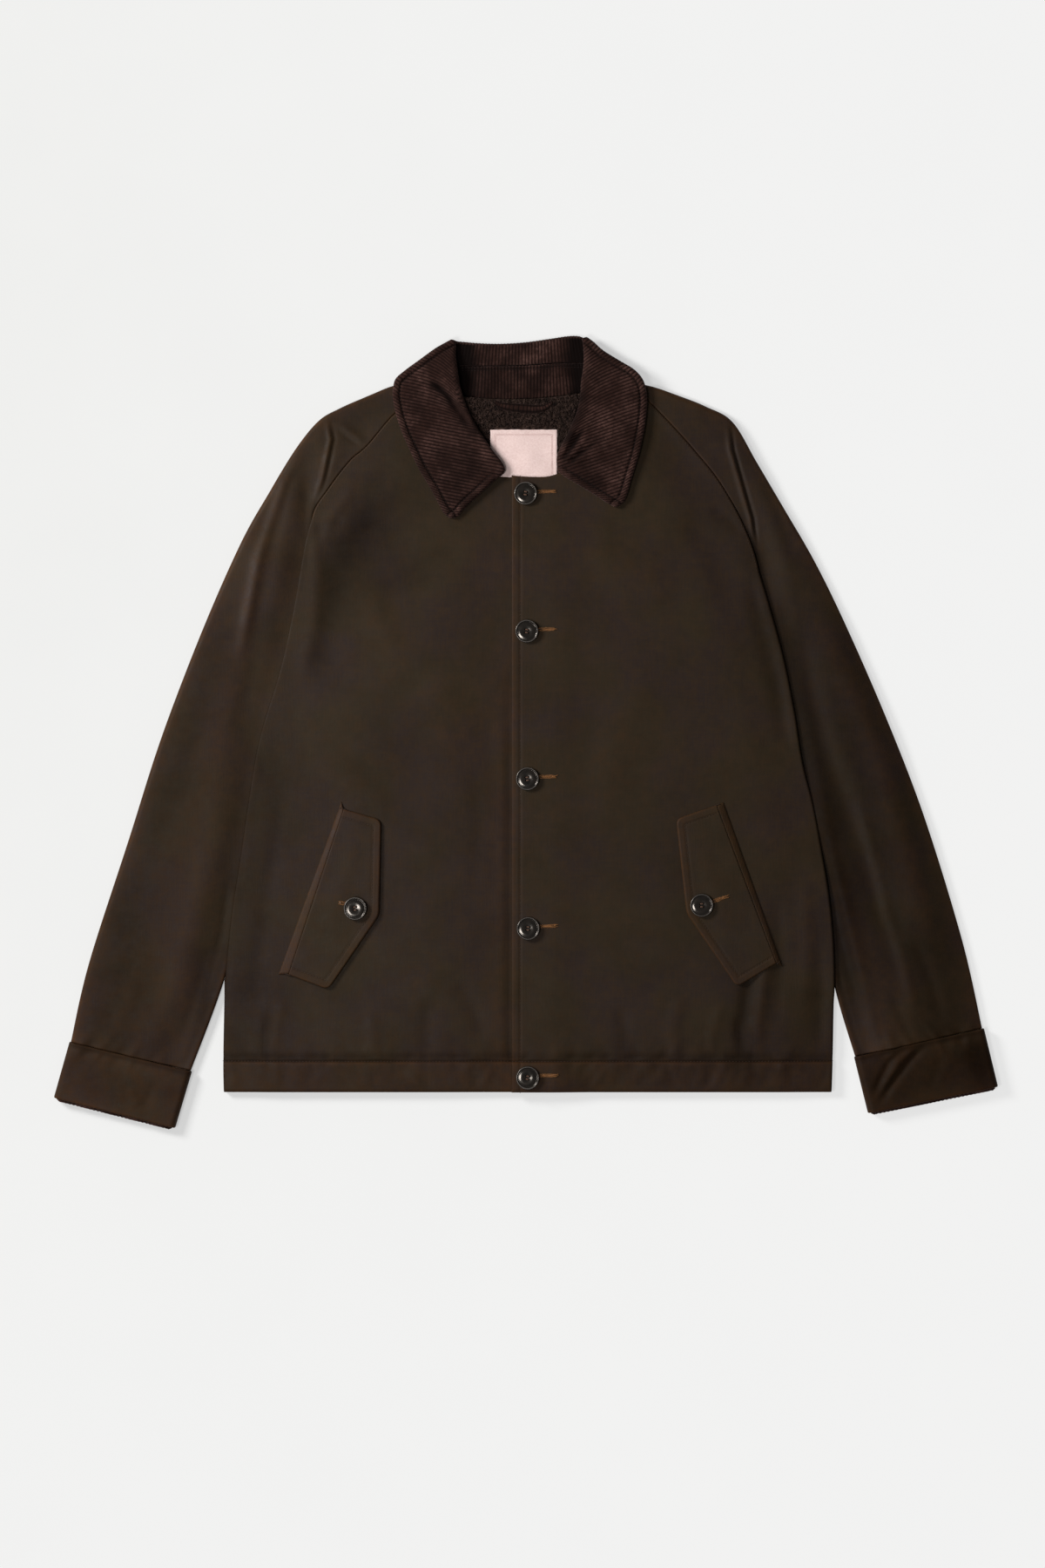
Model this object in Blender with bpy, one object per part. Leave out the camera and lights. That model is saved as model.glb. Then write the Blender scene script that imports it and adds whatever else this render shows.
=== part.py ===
"""Waxed cotton jacket with raglan sleeves and a corduroy collar, laid flat on its back.

+X is the wearer's left, +Y points from the hem to the collar and +Z is up from the
surface it lies on. The origin is on that surface, under the middle of the jacket.
Tables are in millimetres, and MM turns them into Blender's metres.
"""

import math

import bmesh
import bpy
from mathutils import Vector

MM = 0.001

# Walls and the layers they make when they lie on each other
GAP = 0.3
BODY_WALL = 4.0  # waxed shell and pile lining together
NECK_WALL = 3.0  # the back above the pile lining's edge
SLEEVE_WALL = 3.0
CUFF_WALL = 3.0
FACING_WALL = 2.0
COLLAR_WALL = 3.4
STAND_WALL = 2.7
PILE_WALL = 2.5
FLAP_WALL = 3.0
LABEL_WALL = 0.8
FRONT_REST = 7.8  # underside of the fronts where they lie over the back
HEM_REST = 5.8
PLACKET_UNDER = 4.6  # underside of the right front below the overlap
PLACKET_OVER = PLACKET_UNDER + BODY_WALL + GAP
COLLAR_LIFT = COLLAR_WALL + GAP  # how far the back rises over the collar's fall
SEAM_DIP = 0.8
HEM_DEPTH = 30.0
HEM_GROOVE = 1.2
WALE_PITCH = 4.2
WALE_RISE = 0.35

# Sleeve stations from neck to cuff: seam side, folded outer side, top at the seam and crown
# columns: in_x, in_y, out_x, out_y, edge, crown
SLEEVE_RIGHT = (
    (-89, 327, -96, 341, 10.8, 10.8),
    (-108, 317, -112, 335, 10.6, 10.6),
    (-128, 303, -129, 332, 10.3, 10.3),
    (-152, 275, -154, 322, 10.0, 10.0),
    (-169, 260, -179, 311, 9.8, 9.8),
    (-189, 234, -199, 299, 9.3, 9.8),
    (-205, 206, -221, 272, 6.3, 9.8),
    (-203, 160, -246, 231, 6.3, 9.8),
    (-211, 105, -274, 181, 6.3, 9.8),
    (-231, 30, -311, 97, 6.3, 9.8),
    (-252, -55, -350, -5, 6.3, 9.8),
    (-268, -151, -382, -105, 6.3, 9.8),
    (-290, -239, -420, -223, 6.3, 9.8),
    (-322, -326, -437, -298, 6.6, 9.8),
)
SLEEVE_LEFT = (
    (85, 333, 88, 344, 10.8, 10.8),
    (102, 328, 105, 336, 10.6, 10.6),
    (119, 317, 124, 331.5, 10.3, 10.3),
    (143, 293, 149, 323, 10.0, 10.0),
    (166, 267, 174, 313, 9.8, 9.8),
    (188, 239, 200, 298, 9.3, 9.8),
    (211, 197, 224, 258, 8.0, 9.8),
    (225, 154, 250, 214, 6.3, 9.8),
    (229, 101, 279, 164, 6.3, 9.8),
    (243, 32, 307, 107, 6.3, 9.8),
    (262, -60, 346, 18, 6.3, 9.8),
    (280, -150, 384, -80, 6.3, 9.8),
    (298, -244, 421, -200, 6.3, 9.8),
    (318, -312, 440, -285, 6.6, 9.8),
)
STATION_STEPS = 2
UNDERARM = 12  # the last station whose seam side lies under the body
JOIN_RIGHT, JOIN_LEFT = 6, 7  # where the raglan seam runs under the fold of the body

# Free side of each front below the raglan seam: outline and underside there
# columns: x, y, rest
SIDE_RIGHT = (
    (-205, 206, 6.6),
    (-212, 181, 6.6),
    (-223, 118, 6.6),
    (-236, 59, 6.6),
    (-256, -8, 6.6),
    (-266, -65, 6.6),
    (-274, -120, 6.6),
    (-282, -171, 6.6),
    (-287, -217, 6.6),
    (-288.5, -240, 6.6),
    (-289.5, -262, 4.4),
    (-290, -316.9, 4.3),
    (-290, -346.9, 4.3),
)
SIDE_LEFT = (
    (225, 154, 6.6),
    (236, 118, 6.6),
    (249, 70, 6.6),
    (259, 20, 6.6),
    (267, -30, 6.6),
    (277, -70, 6.6),
    (285, -113, 6.6),
    (292, -155, 6.6),
    (296.5, -200, 6.6),
    (297.8, -244, 6.6),
    (297, -264, 4.4),
    (296, -316.9, 4.3),
    (295, -346.9, 4.3),
)
SEAM_REST = (7.3, 7.1, 6.6, 6.1, 5.8, 5.8, 6.6, 6.6)
HEM_Y = -346.9

# Necklines, from the centre front up to the raglan seam
NECK_RIGHT = (
    (23, 244.4),
    (-13, 245.3),
    (-28, 247),
    (-49, 254.5),
    (-68, 269),
    (-81, 288),
    (-88, 309),
    (-89, 327),
)
NECK_LEFT = (
    (-13, 246),
    (6, 244.6),
    (25, 245.6),
    (44, 253.7),
    (61, 269),
    (75, 288),
    (82, 311),
    (85, 333),
)
NECK_BACK = (320.0, 0.036, 0.0013)  # height at the middle, tilt and curve

# Collar leaves, a row for each wale direction from the tip to the shoulder: inner end,
# outer end, underside of the leaf, and how low its inner and its outer edge reach
# columns: in_x, in_y, out_x, out_y, rest, in_low, out_low
LEAF_RIGHT = (
    (-67.5, 205.0, -69.5, 205.2, 12.1, 12.1, 12.1),
    (-63.0, 209.5, -80.0, 213.0, 12.1, 12.1, 12.1),
    (-46.7, 224.8, -90.7, 232.7, 12.2, 12.2, 12.1),
    (-30.4, 239.9, -102.5, 252.8, 12.3, 12.3, 12.1),
    (-19.3, 252.0, -111.7, 272.2, 12.6, 9.6, 12.1),
    (-31.9, 271.3, -118.4, 287.3, 13.0, 8.4, 12.1),
    (-43.7, 288.1, -123.5, 302.4, 13.4, 9.4, 12.1),
    (-52.9, 304.9, -126.8, 318.4, 13.6, 10.0, 12.1),
    (-58.0, 317.5, -126.8, 329.0, 13.6, 10.0, 12.1),
    (-62.2, 331.0, -124.3, 338.5, 13.4, 8.0, 11.2),
    (-63.8, 341.0, -115.1, 346.9, 13.0, 7.6, 3.8),
    (-65.5, 352.8, -102.5, 356.2, 12.4, 7.6, 3.8),
    (-66.8, 363.0, -86.0, 368.0, 11.6, 7.6, 3.8),
    (-66.5, 370.0, -77.0, 373.8, 11.0, 7.6, 3.8),
)
LEAF_LEFT = (
    (85.8, 215.4, 88.2, 215.6, 13.4, 13.4, 12.1),
    (78.5, 219.5, 96.0, 222.5, 13.4, 13.4, 12.1),
    (58.0, 232.5, 103.3, 245.3, 13.4, 13.4, 12.1),
    (33.9, 247.4, 110.0, 268.0, 13.6, 13.6, 12.1),
    (31.2, 254.5, 111.5, 275.0, 13.6, 12.0, 12.1),
    (31.1, 266.3, 114.2, 288.5, 13.6, 8.4, 12.1),
    (42.0, 289.0, 116.8, 309.1, 13.6, 9.4, 12.0),
    (49.6, 307.4, 116.8, 324.0, 13.6, 10.2, 12.1),
    (52.9, 323.4, 113.5, 337.0, 13.4, 10.2, 11.2),
    (53.8, 336.0, 105.0, 347.3, 13.0, 7.6, 3.8),
    (56.3, 348.6, 90.7, 356.2, 12.4, 7.6, 3.8),
    (58.0, 360.4, 73.9, 366.2, 11.6, 7.6, 3.8),
    (57.0, 371.5, 65.0, 373.5, 11.0, 7.6, 3.8),
)

# The collar behind the neck: edge sewn to the stand, roll, and outer edge under the back
# columns: seam_x, seam_y, roll_x, roll_y, out_x, out_y
FALL = (
    (-74, 352.0, -70.0, 376.5, -122, 336),
    (-64, 352.0, -60.0, 375.4, -104, 327),
    (-45, 352.0, -42.0, 374.0, -72, 317),
    (-24, 352.2, -23.0, 373.6, -36, 310),
    (0, 352.8, 0.0, 375.0, -2, 307.4),
    (24, 354.4, 23.0, 378.2, 32, 309.5),
    (44, 355.2, 41.0, 380.8, 68, 318),
    (58, 354.6, 52.0, 380.8, 94, 329),
    (66, 353.0, 59.0, 377.5, 110, 338),
)

# Hanger loop, cuffs, pocket flaps and buttons
LOOP_PATH = ((-28, 316.0), (-20, 312.5), (-4, 310.5), (10, 310.0), (20, 312.0), (25, 315.5))
LOOP_WIDTH, LOOP_WALL = 5.0, 1.5
LABEL_X, LABEL_TOP = (-33.6, 30.7), 290.2
# columns: in_x, in_y, out_x, out_y
CUFF_RIGHT = ((-320.6, -326.9, -438.6, -298.3), (-336.8, -381.4, -453.7, -352.0))
CUFF_LEFT = ((316.6, -312.9, 441.8, -285.4), (330.0, -367.1, 455.3, -341.4))
CUFF_TOP = 11.3
FACING_DEPTH, FACING_PEEP = 40.0, 2.2
FLAP_RIGHT = ((-174.1, -74.5), (-138.2, -84.8), (-140.0, -176.4), (-189.0, -247.8), (-227.1, -233.5))
FLAP_LEFT = ((183.7, -70.6), (144.9, -84.0), (155.0, -174.7), (203.3, -245.3), (241.1, -222.6))
FLAP_CORNER = 7.0
BUTTON_RADIUS, BUTTON_HIGH = 11.0, 4.0
BUTTON_RIM, BUTTON_DISH = 2.0, 1.1
BUTTON_HOLE, BUTTON_HOLE_AT = 1.1, 2.0
BUTTON_SIDES, HOLE_SIDES = 16, 5
FRONT_BUTTONS = ((0.4, 228.5), (1.6, 96.2), (2.2, -45.4), (2.9, -189.0), (2.4, -332.2))
FLAP_BUTTONS = (("right", -163.0, -169.8), ("left", 169.3, -166.7))

# Long soft creases raised on the outer side: ends, half width and height
# columns: x0, y0, x1, y1, width, rise
CREASES = (
    (-193, 292, -203, 212, 7, 1.6),
    (-210, 280, -262, 128, 9, 1.8),
    (-243, 175, -318, -40, 11, -1.0),
    (-262, 128, -372, -150, 12, 1.4),
    (197, 292, 221, 196, 7, 1.6),
    (232, 225, 290, 85, 10, -1.0),
    (250, 120, 330, -60, 12, 1.4),
    (300, -20, 352, -190, 12, -1.0),
    (-214, 160, -250, 20, 10, -1.2),
    (205, 120, 250, -60, 12, 1.2),
    (230, -60, 252, -250, 12, 1.2),
    (208, -130, 216, -290, 12, -1.0),
    (-60, 200, -120, 60, 22, 1.2),
)

COLOURS = {
    "shell": ((0.030, 0.021, 0.011), 0.55),
    "corduroy": ((0.030, 0.014, 0.012), 0.9),
    "pile": ((0.022, 0.012, 0.010), 0.95),
    "label": ((0.72, 0.55, 0.50), 0.7),
    "horn": ((0.012, 0.010, 0.009), 0.15),
}


def clear_scene():
    for thing in list(bpy.data.objects):
        bpy.data.objects.remove(thing, do_unlink=True)


def finish(name):
    colour, roughness = COLOURS[name]
    material = bpy.data.materials.get(name) or bpy.data.materials.new(name)
    material.use_nodes = True
    shader = material.node_tree.nodes["Principled BSDF"]
    shader.inputs["Base Color"].default_value = (*colour, 1.0)
    shader.inputs["Roughness"].default_value = roughness
    shader.inputs["Metallic"].default_value = 0.0
    material.diffuse_color = (*colour, 1.0)
    return material


def add_object(name, points, faces, material):
    """A closed mesh from points in millimetres, with its faces turned outward."""
    mesh = bpy.data.meshes.new(name)
    mesh.from_pydata([Vector(p) * MM for p in points], [], faces)
    shape = bmesh.new()
    shape.from_mesh(mesh)
    bmesh.ops.recalc_face_normals(shape, faces=shape.faces)
    shape.to_mesh(mesh)
    shape.free()
    mesh.materials.append(finish(material))
    thing = bpy.data.objects.new(name, mesh)
    bpy.context.scene.collection.objects.link(thing)
    return thing


def step(t):
    """0 below 0, 1 above 1, and smooth between."""
    t = min(max(t, 0.0), 1.0)
    return t * t * (3 - 2 * t)


def mix(a, b, t):
    return a + (b - a) * t


def cubic(p0, p1, p2, p3, t):
    """A Catmull-Rom curve's value between p1 and p2."""
    return 0.5 * (
        2 * p1 + (p2 - p0) * t + (2 * p0 - 5 * p1 + 4 * p2 - p3) * t * t + (3 * p1 - p0 - 3 * p2 + p3) * t**3
    )


def row_at(rows, place):
    """The row at a fractional place in a table, smooth through its rows."""
    last = len(rows) - 1
    i = min(int(place), last - 1)
    near = [rows[min(max(i + k, 0), last)] for k in (-1, 0, 1, 2)]
    return [cubic(*values, place - i) for values in zip(*near)]


def steps_between(rows, steps):
    return [row_at(rows, i / steps) for i in range((len(rows) - 1) * steps + 1)]


def even_rows(rows, pitch, width):
    """Rows about a pitch apart, measured along the middle of the first four columns."""
    fine = steps_between(rows, 8)
    middle = [Vector(((r[0] + r[2]) / 2, (r[1] + r[3]) / 2)) for r in fine]
    run = [0.0]
    for a, b in zip(middle, middle[1:]):
        run.append(run[-1] + (b - a).length)
    count = max(width, round(run[-1] / pitch / width) * width)
    made = []
    for i in range(count + 1):
        goal = run[-1] * i / count
        k = max(j for j in range(len(run) - 1) if run[j] <= goal + 1e-9)
        share = (goal - run[k]) / (run[k + 1] - run[k])
        made.append([mix(a, b, share) for a, b in zip(fine[k], fine[k + 1])])
    return made


def along(line, x):
    """The y of an outline at x, straight between its points."""
    points = sorted(line)
    for (x0, y0), (x1, y1) in zip(points, points[1:]):
        if x <= x1:
            return mix(y0, y1, min(max((x - x0) / (x1 - x0), 0.0), 1.0))
    return points[-1][1]


def back_neck(x):
    middle, tilt, curve = NECK_BACK
    return middle + tilt * x + curve * x * x


def front_neck(x):
    return max(along(NECK_RIGHT, x), along(NECK_LEFT, x))


def fall_edge(x):
    """The y of the collar's outer edge under the back."""
    return 307.4 + 28.0 * (x / 120.0) ** 2


def lift_share(x, y):
    """1 over the collar's fall, 0 where the back and sleeves lie on the surface."""
    return step((y - fall_edge(x) + 30.0) / 22.0) * step((152.0 - abs(x)) / 22.0)


def back_levels(x, y):
    share = lift_share(x, y)
    low = COLLAR_LIFT * share
    return low, low + mix(BODY_WALL, NECK_WALL, share)


def crease(x, y):
    """How far the creases raise the outer side of the cloth at a place."""
    total = 0.0
    for x0, y0, x1, y1, width, rise in CREASES:
        run = Vector((x1 - x0, y1 - y0))
        offset = Vector((x - x0, y - y0))
        share = offset.dot(run) / run.length_squared
        aside = abs(offset.x * run.y - offset.y * run.x) / run.length
        ends = step(share * 5) * step((1 - share) * 5)
        total += rise * ends * math.exp(-((aside / width) ** 2))
    return total


def wall(name, outer, inner, material):
    """A cloth wall between two grids of points. The inner grid may have fewer rows."""
    columns = len(outer[0])
    ratio = (len(outer) - 1) // (len(inner) - 1)
    points = [p for row in outer + inner for p in row]
    start = len(outer) * columns

    def out(i, j):
        return i * columns + j

    def ins(i, j):
        return start + i * columns + j

    faces = []
    for at, count in ((out, len(outer)), (ins, len(inner))):
        faces += [
            (at(i, j), at(i, j + 1), at(i + 1, j + 1), at(i + 1, j))
            for i in range(count - 1)
            for j in range(columns - 1)
        ]
    for j in (0, columns - 1):
        for i in range(len(inner) - 1):
            edge = [out(k, j) for k in range(i * ratio, (i + 1) * ratio + 1)]
            faces.append((*edge, ins(i + 1, j), ins(i, j)))
    for i, k in ((0, 0), (len(outer) - 1, len(inner) - 1)):
        faces += [(out(i, j), out(i, j + 1), ins(k, j + 1), ins(k, j)) for j in range(columns - 1)]
    return add_object(name, points, faces, material)


def tube(name, outer, inner, material):
    """A wall that closes on itself, open at both ends: each row is a ring of points."""
    size = len(outer[0])
    rows = len(outer)
    points = [p for row in outer + inner for p in row]

    def at(side, i, j):
        return (side * rows + i) * size + j % size

    faces = []
    for j in range(size):
        for side in (0, 1):
            faces += [
                (at(side, i, j), at(side, i, j + 1), at(side, i + 1, j + 1), at(side, i + 1, j))
                for i in range(rows - 1)
            ]
        faces += [(at(0, i, j), at(0, i, j + 1), at(1, i, j + 1), at(1, i, j)) for i in (0, rows - 1)]
    return add_object(name, points, faces, material)


def plate(name, outline, low, high, bevel, material):
    """A flat piece with a softened upper edge."""
    count = len(outline)
    middle = sum((Vector(p) for p in outline), Vector((0, 0))) / count
    inset = [Vector(p) + (middle - Vector(p)).normalized() * bevel for p in outline]
    rings = (
        [(x, y, low) for x, y in outline],
        [(x, y, high - bevel) for x, y in outline],
        [(p.x, p.y, high) for p in inset],
    )
    points = [p for ring in rings for p in ring]
    faces = [tuple(range(count)), tuple(range(2 * count, 3 * count))]
    for k in range(2):
        faces += [
            (k * count + i, k * count + (i + 1) % count, (k + 1) * count + (i + 1) % count, (k + 1) * count + i)
            for i in range(count)
        ]
    return add_object(name, points, faces, material)


def fold_section(top_end, fold, bottom_end, edge, crown, thick, places, under_places, lift, settle, raise_by):
    """Outer and inner points of cloth that runs out to a fold and back underneath itself."""
    top_end, fold, bottom_end = Vector(top_end), Vector(fold), Vector(bottom_end)
    length = (fold - top_end).length
    out_way = (fold - top_end) / length
    low = lift(*fold)
    radius = (mix(edge, crown, step((length - settle[0]) / settle[1])) - low) / 2
    straight = length - radius
    outer, inner = [], []
    for share in places:
        run = share * straight
        spot = top_end + out_way * run
        high = mix(edge, crown, step((run - settle[0]) / settle[1]))
        outer.append((*spot, high + raise_by(*spot, run)))
        inner.append((*spot, high - thick))
    centre = top_end + out_way * straight
    for degrees in (50, 17, -17, -50):
        across, up = math.cos(math.radians(degrees)), math.sin(math.radians(degrees))
        for side, r in ((outer, radius), (inner, radius - thick)):
            side.append((*(centre + out_way * r * across), low + radius + r * up))
    back_way = bottom_end - centre
    for share in under_places:
        spot = centre + back_way * share
        under = lift(*spot)
        outer.append((*spot, under))
        inner.append((*spot, under + thick))
    return outer, inner


def sleeve_rows(table):
    return steps_between(table, STATION_STEPS)


def make_sleeve(side, table):
    """One piece of cloth folded along its outer side, with its two edges at the seam."""
    outer, inner = [], []
    for in_x, in_y, out_x, out_y, edge, crown in sleeve_rows(table):
        seam = (in_x, in_y)
        top, under = fold_section(
            seam,
            (out_x, out_y),
            seam,
            edge,
            crown,
            SLEEVE_WALL,
            (0.0, 0.03, 0.12, 0.27, 0.45, 0.63, 0.82, 1.0),
            (0.0, 0.5, 1.0),
            lambda x, y: COLLAR_LIFT * lift_share(x, y),
            (18.0, 38.0),
            lambda x, y, run: crease(x, y) * step((run - 18) / 12),
        )
        seam_dip = SEAM_DIP if edge > 9 else 1.2
        top[0] = (top[0][0], top[0][1], top[0][2] - seam_dip)
        outer.append(top)
        inner.append(under)
    wall(f"sleeve_{side}", outer, inner, "shell")


def inward(points, way, gap):
    """The points of a seam moved off it to leave a gap."""
    return [(x + way * gap, y) for x, y in points]


def seam_points(table, last):
    rows = sleeve_rows(table)[: last * STATION_STEPS + 1]
    return [(row[0], row[1]) for row in rows]


def make_front(side, table, join, free_side, neck, under):
    """A front panel from its raglan seam and side to the centre, with its neckline on top."""
    way = 1 if side == "right" else -1
    seam = inward(seam_points(table, join), way, GAP)
    rests = [row_at([(r,) for r in SEAM_REST], i / STATION_STEPS)[0] for i in range(len(seam))]
    hem_rows = (HEM_DEPTH + 4, HEM_DEPTH, HEM_DEPTH - 4, 4.0, 0.0)
    free = steps_between(free_side[:-2], 1)[1:]
    edge_x = free_side[-1][0]
    sides = [(x, y, rest, True) for (x, y), rest in zip(seam, rests)]
    sides += [(x, y, rest, False) for x, y, rest in free]
    sides += [(edge_x, HEM_Y + up, free_side[-1][2], False) for up in hem_rows]
    centre_x = neck[0][0]
    top_y = sides[0][1]
    edge_runs = (0.0, 1.5, 5.0, 14.0, 34.0)
    placket_runs = (72.0, 52.0, 38.0, 3.0, 0.0) if under else (56.0, 34.0, 3.0, 0.0)
    spread_at = (0.33, 0.67) if under else (0.25, 0.5, 0.75)
    outer, inner = [], []
    for x, y, rest, sewn in sides:
        down = (top_y - y) / (top_y - HEM_Y)
        start = Vector((x, y))
        end = Vector((centre_x, y if y < HEM_Y + 80 else mix(neck[0][1], HEM_Y, down)))
        length = (end - start).length
        slant = length / abs(end.x - start.x)
        spread = [mix(edge_runs[-1], length - placket_runs[0] * slant, t) for t in spread_at]
        runs = list(edge_runs) + spread + [length - r * slant for r in placket_runs]
        sag = max(0.0, 1 - down / 0.14) ** 2
        tops, lows = [], []
        for run in runs:
            spot = start.lerp(end, run / length)
            first = Vector((mix(sides[0][0], centre_x, run / length), 0))
            straight_y = mix(sides[0][1], neck[0][1], run / length)
            spot.y += sag * (along(neck, first.x) - straight_y)
            from_centre = (length - run) / slant
            middle = mix(FRONT_REST, HEM_REST, step((HEM_Y + 45 - spot.y) / 45))
            if under:
                middle = mix(PLACKET_UNDER, middle, step((from_centre - 40) / 32))
            else:
                middle = mix(PLACKET_OVER, middle, step((from_centre - 36) / 20))
            low = mix(rest, middle, step((run - 14) / 40))
            thick = BODY_WALL
            if run == 0:
                thick = BODY_WALL - SEAM_DIP if sewn else BODY_WALL * 0.5
            elif run < 2 and not sewn:
                thick = BODY_WALL * 0.86
            elif from_centre < 0.01:
                thick = BODY_WALL * 0.7
            hem = abs(spot.y - HEM_Y - HEM_DEPTH)
            if hem < 1:
                thick -= HEM_GROOVE
            elif spot.y < HEM_Y + 1:
                thick = min(thick, BODY_WALL * 0.7)
            lows.append((*spot, low))
            tops.append((*spot, low + thick + (crease(*spot) if run > 2 and hem > 1 else 0)))
        outer.append(tops)
        inner.append(lows)
    wall(f"front_{side}", outer, inner, "shell")


def make_back():
    """The back panel, flat on the surface, between the two sleeves and down to the hem."""
    right = inward(seam_points(SLEEVE_RIGHT, UNDERARM), 1, GAP)
    left = inward(seam_points(SLEEVE_LEFT, UNDERARM), -1, GAP)
    for up in (HEM_DEPTH + 45, HEM_DEPTH, 3.0, 0.0):
        right.append((SIDE_RIGHT[-1][0] + GAP, HEM_Y + up))
        left.append((SIDE_LEFT[-1][0] - GAP, HEM_Y + up))
    places = (0.0, 0.015, 0.1, 0.22, 0.36, 0.5, 0.64, 0.78, 0.9, 0.985, 1.0)
    outer, inner = [], []
    for i, (a, b) in enumerate(zip(right, left)):
        sag = max(0.0, 1 - i / 8) ** 2
        tops, lows = [], []
        for share in places:
            x = mix(a[0], b[0], share)
            y = mix(a[1], b[1], share)
            neck_x = mix(right[0][0], left[0][0], share)
            y += sag * (back_neck(neck_x) - mix(right[0][1], left[0][1], share))
            low, high = back_levels(x, y)
            tops.append((x, y, high))
            lows.append((x, y, low))
        outer.append(lows)
        inner.append(tops)
    wall("back", outer, inner, "shell")


def make_leaf(side, table):
    """A collar leaf with raised wales, a rolled border, and edges that turn down."""
    rows = even_rows(table, WALE_PITCH / 2, 4)
    outer, inner = [], []
    for i, (in_x, in_y, out_x, out_y, rest, in_low, out_low) in enumerate(rows):
        start, end = Vector((in_x, in_y)), Vector((out_x, out_y))
        length = (end - start).length
        way = (end - start) / length
        small = min(1.0, length / 22.0)
        in_drop, out_drop = max(rest - in_low, 0.0), max(rest - out_low, 0.0)
        in_wall = mix(0.4, COLLAR_WALL, min(in_drop / 3, 1))
        out_wall = mix(0.4, COLLAR_WALL, min(out_drop / 3, 1))
        rise = WALE_RISE * (1 if i % 2 else -1)
        top = rest + COLLAR_WALL
        outline = [
            (0.0, in_low),
            (0.0, top - 2.0),
            (2.4 * small, top + rise),
            (length - 9.0 * small, top + rise),
            (length - 6.8 * small, top - 1.1),
            (length - 2.6 * small, top + 0.1 + rise),
            (length, top - 2.0),
            (length, out_low),
        ]
        lining = [
            (in_wall * small, in_low),
            ((in_wall + 0.3) * small, mix(in_low, rest, 0.6)),
            ((in_wall + 1.2) * small, rest),
            (length - (out_wall + 6.0) * small, rest),
            (length - (out_wall + 3.0) * small, rest),
            (length - (out_wall + 1.2) * small, rest),
            (length - (out_wall + 0.3) * small, mix(out_low, rest, 0.6)),
            (length - out_wall * small, out_low),
        ]
        outer.append([(*(start + way * run), z) for run, z in outline])
        if i % 4 == 0:
            inner.append([(*(start + way * run), z) for run, z in lining])
    wall(f"collar_leaf_{side}", outer, inner, "corduroy")


def make_fall():
    """The collar behind the neck, rolled over the stand and lying under the back."""
    rows = even_rows(FALL, WALE_PITCH / 2, 4)
    outer, inner = [], []
    for i, (seam_x, seam_y, roll_x, roll_y, out_x, out_y) in enumerate(rows):
        rise = WALE_RISE * (1 if i % 2 else -1)
        top, under = fold_section(
            (seam_x, seam_y + GAP),
            (roll_x, roll_y),
            (out_x, out_y),
            2 * COLLAR_WALL + GAP,
            2 * COLLAR_WALL + GAP,
            COLLAR_WALL,
            (0.0, 1.0),
            (0.0, 1.0),
            lambda x, y: 0.0,
            (0.0, 1.0),
            lambda x, y, run: rise,
        )
        outer.append(top)
        if i % 4 == 0:
            inner.append(under)
    wall("collar_fall", outer, inner, "corduroy")


def make_stand_back():
    """The stand behind the neck, with upright wales, sewn to the back and to the collar."""
    count = round(140.0 / WALE_PITCH) * 2
    count -= count % 4
    outer, inner = [], []
    for i in range(count + 1):
        x = mix(-70.0, 68.0, i / count)
        low = back_neck(x) + GAP + 0.2
        high = along([(row[0], row[1]) for row in FALL], x * 0.96) - GAP - 0.2
        rise = WALE_RISE * (1 if i % 2 else -1)
        base = COLLAR_LIFT
        places = ((low, -0.6), (low + 2.0, 0.0), (high - 2.0, 0.0), (high, -0.6))
        outer.append([(x, y, base + STAND_WALL + rise + dip) for y, dip in places])
        if i % 4 == 0:
            inner.append([(x, y, base) for y, _ in places])
    wall("collar_stand_back", outer, inner, "corduroy")


def make_stand_front(side, table, neck):
    """The stand from the neckline of a front to the roll, under the leaf."""
    way = 1 if side == "right" else -1
    outer, inner = [], []
    rolls = [(row[0], row[1]) for row in table if row[5] < 11 and row[1] < 325]
    for k in range(9):
        share = k / 8
        place = row_at(rolls, share * (len(rolls) - 1))
        seam = row_at(list(neck)[2:], 0.6 + share * (len(neck) - 4.0))
        start = Vector((seam[0] + way * 2.0, seam[1] + 1.4))
        end = Vector((place[0] - way * (COLLAR_WALL + 1.4), place[1]))
        if (end - start).length < 6:
            continue
        base = 8.6 + 1.4 * step((start.y - 270) / 20)
        spots = [start.lerp(end, t) for t in (0.0, 0.5, 1.0)]
        outer.append([(*p, base + STAND_WALL) for p in spots])
        inner.append([(*p, base) for p in spots])
    wall(f"collar_stand_{side}", outer, inner, "corduroy")


def lining_levels(x, y):
    low = back_levels(x, y)[1] + GAP + 0.2
    return low, low + PILE_WALL


def make_neck_lining():
    """The pile lining of the back where the open neck shows it."""
    sides = ((318, -59.0, 53.0), (305, -53.5, 49.5), (288, -46.0, 44.0), (271, -42.0, 40.0), (250, -39.0, 37.0))
    outer, inner = [], []
    for y, left, right in steps_between(sides, 2):
        tops, lows = [], []
        for k in range(9):
            x = mix(left, right, k / 8)
            down = (318 - y) / (318 - 250)
            spot_y = mix(back_neck(x) - 0.5, front_neck(x) + 1.2, down)
            low, high = lining_levels(x, spot_y)
            tops.append((x, spot_y, high))
            lows.append((x, spot_y, low))
        outer.append(tops)
        inner.append(lows)
    wall("neck_lining", outer, inner, "pile")


def make_label():
    outer, inner = [], []
    for i in range(5):
        tops, lows = [], []
        for k in range(5):
            x = mix(*LABEL_X, k / 4)
            y = mix(LABEL_TOP, front_neck(x) + 1.3, i / 4)
            low = lining_levels(x, y)[1] + GAP
            tops.append((x, y, low + LABEL_WALL))
            lows.append((x, y, low))
        outer.append(tops)
        inner.append(lows)
    wall("label", outer, inner, "label")


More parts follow.
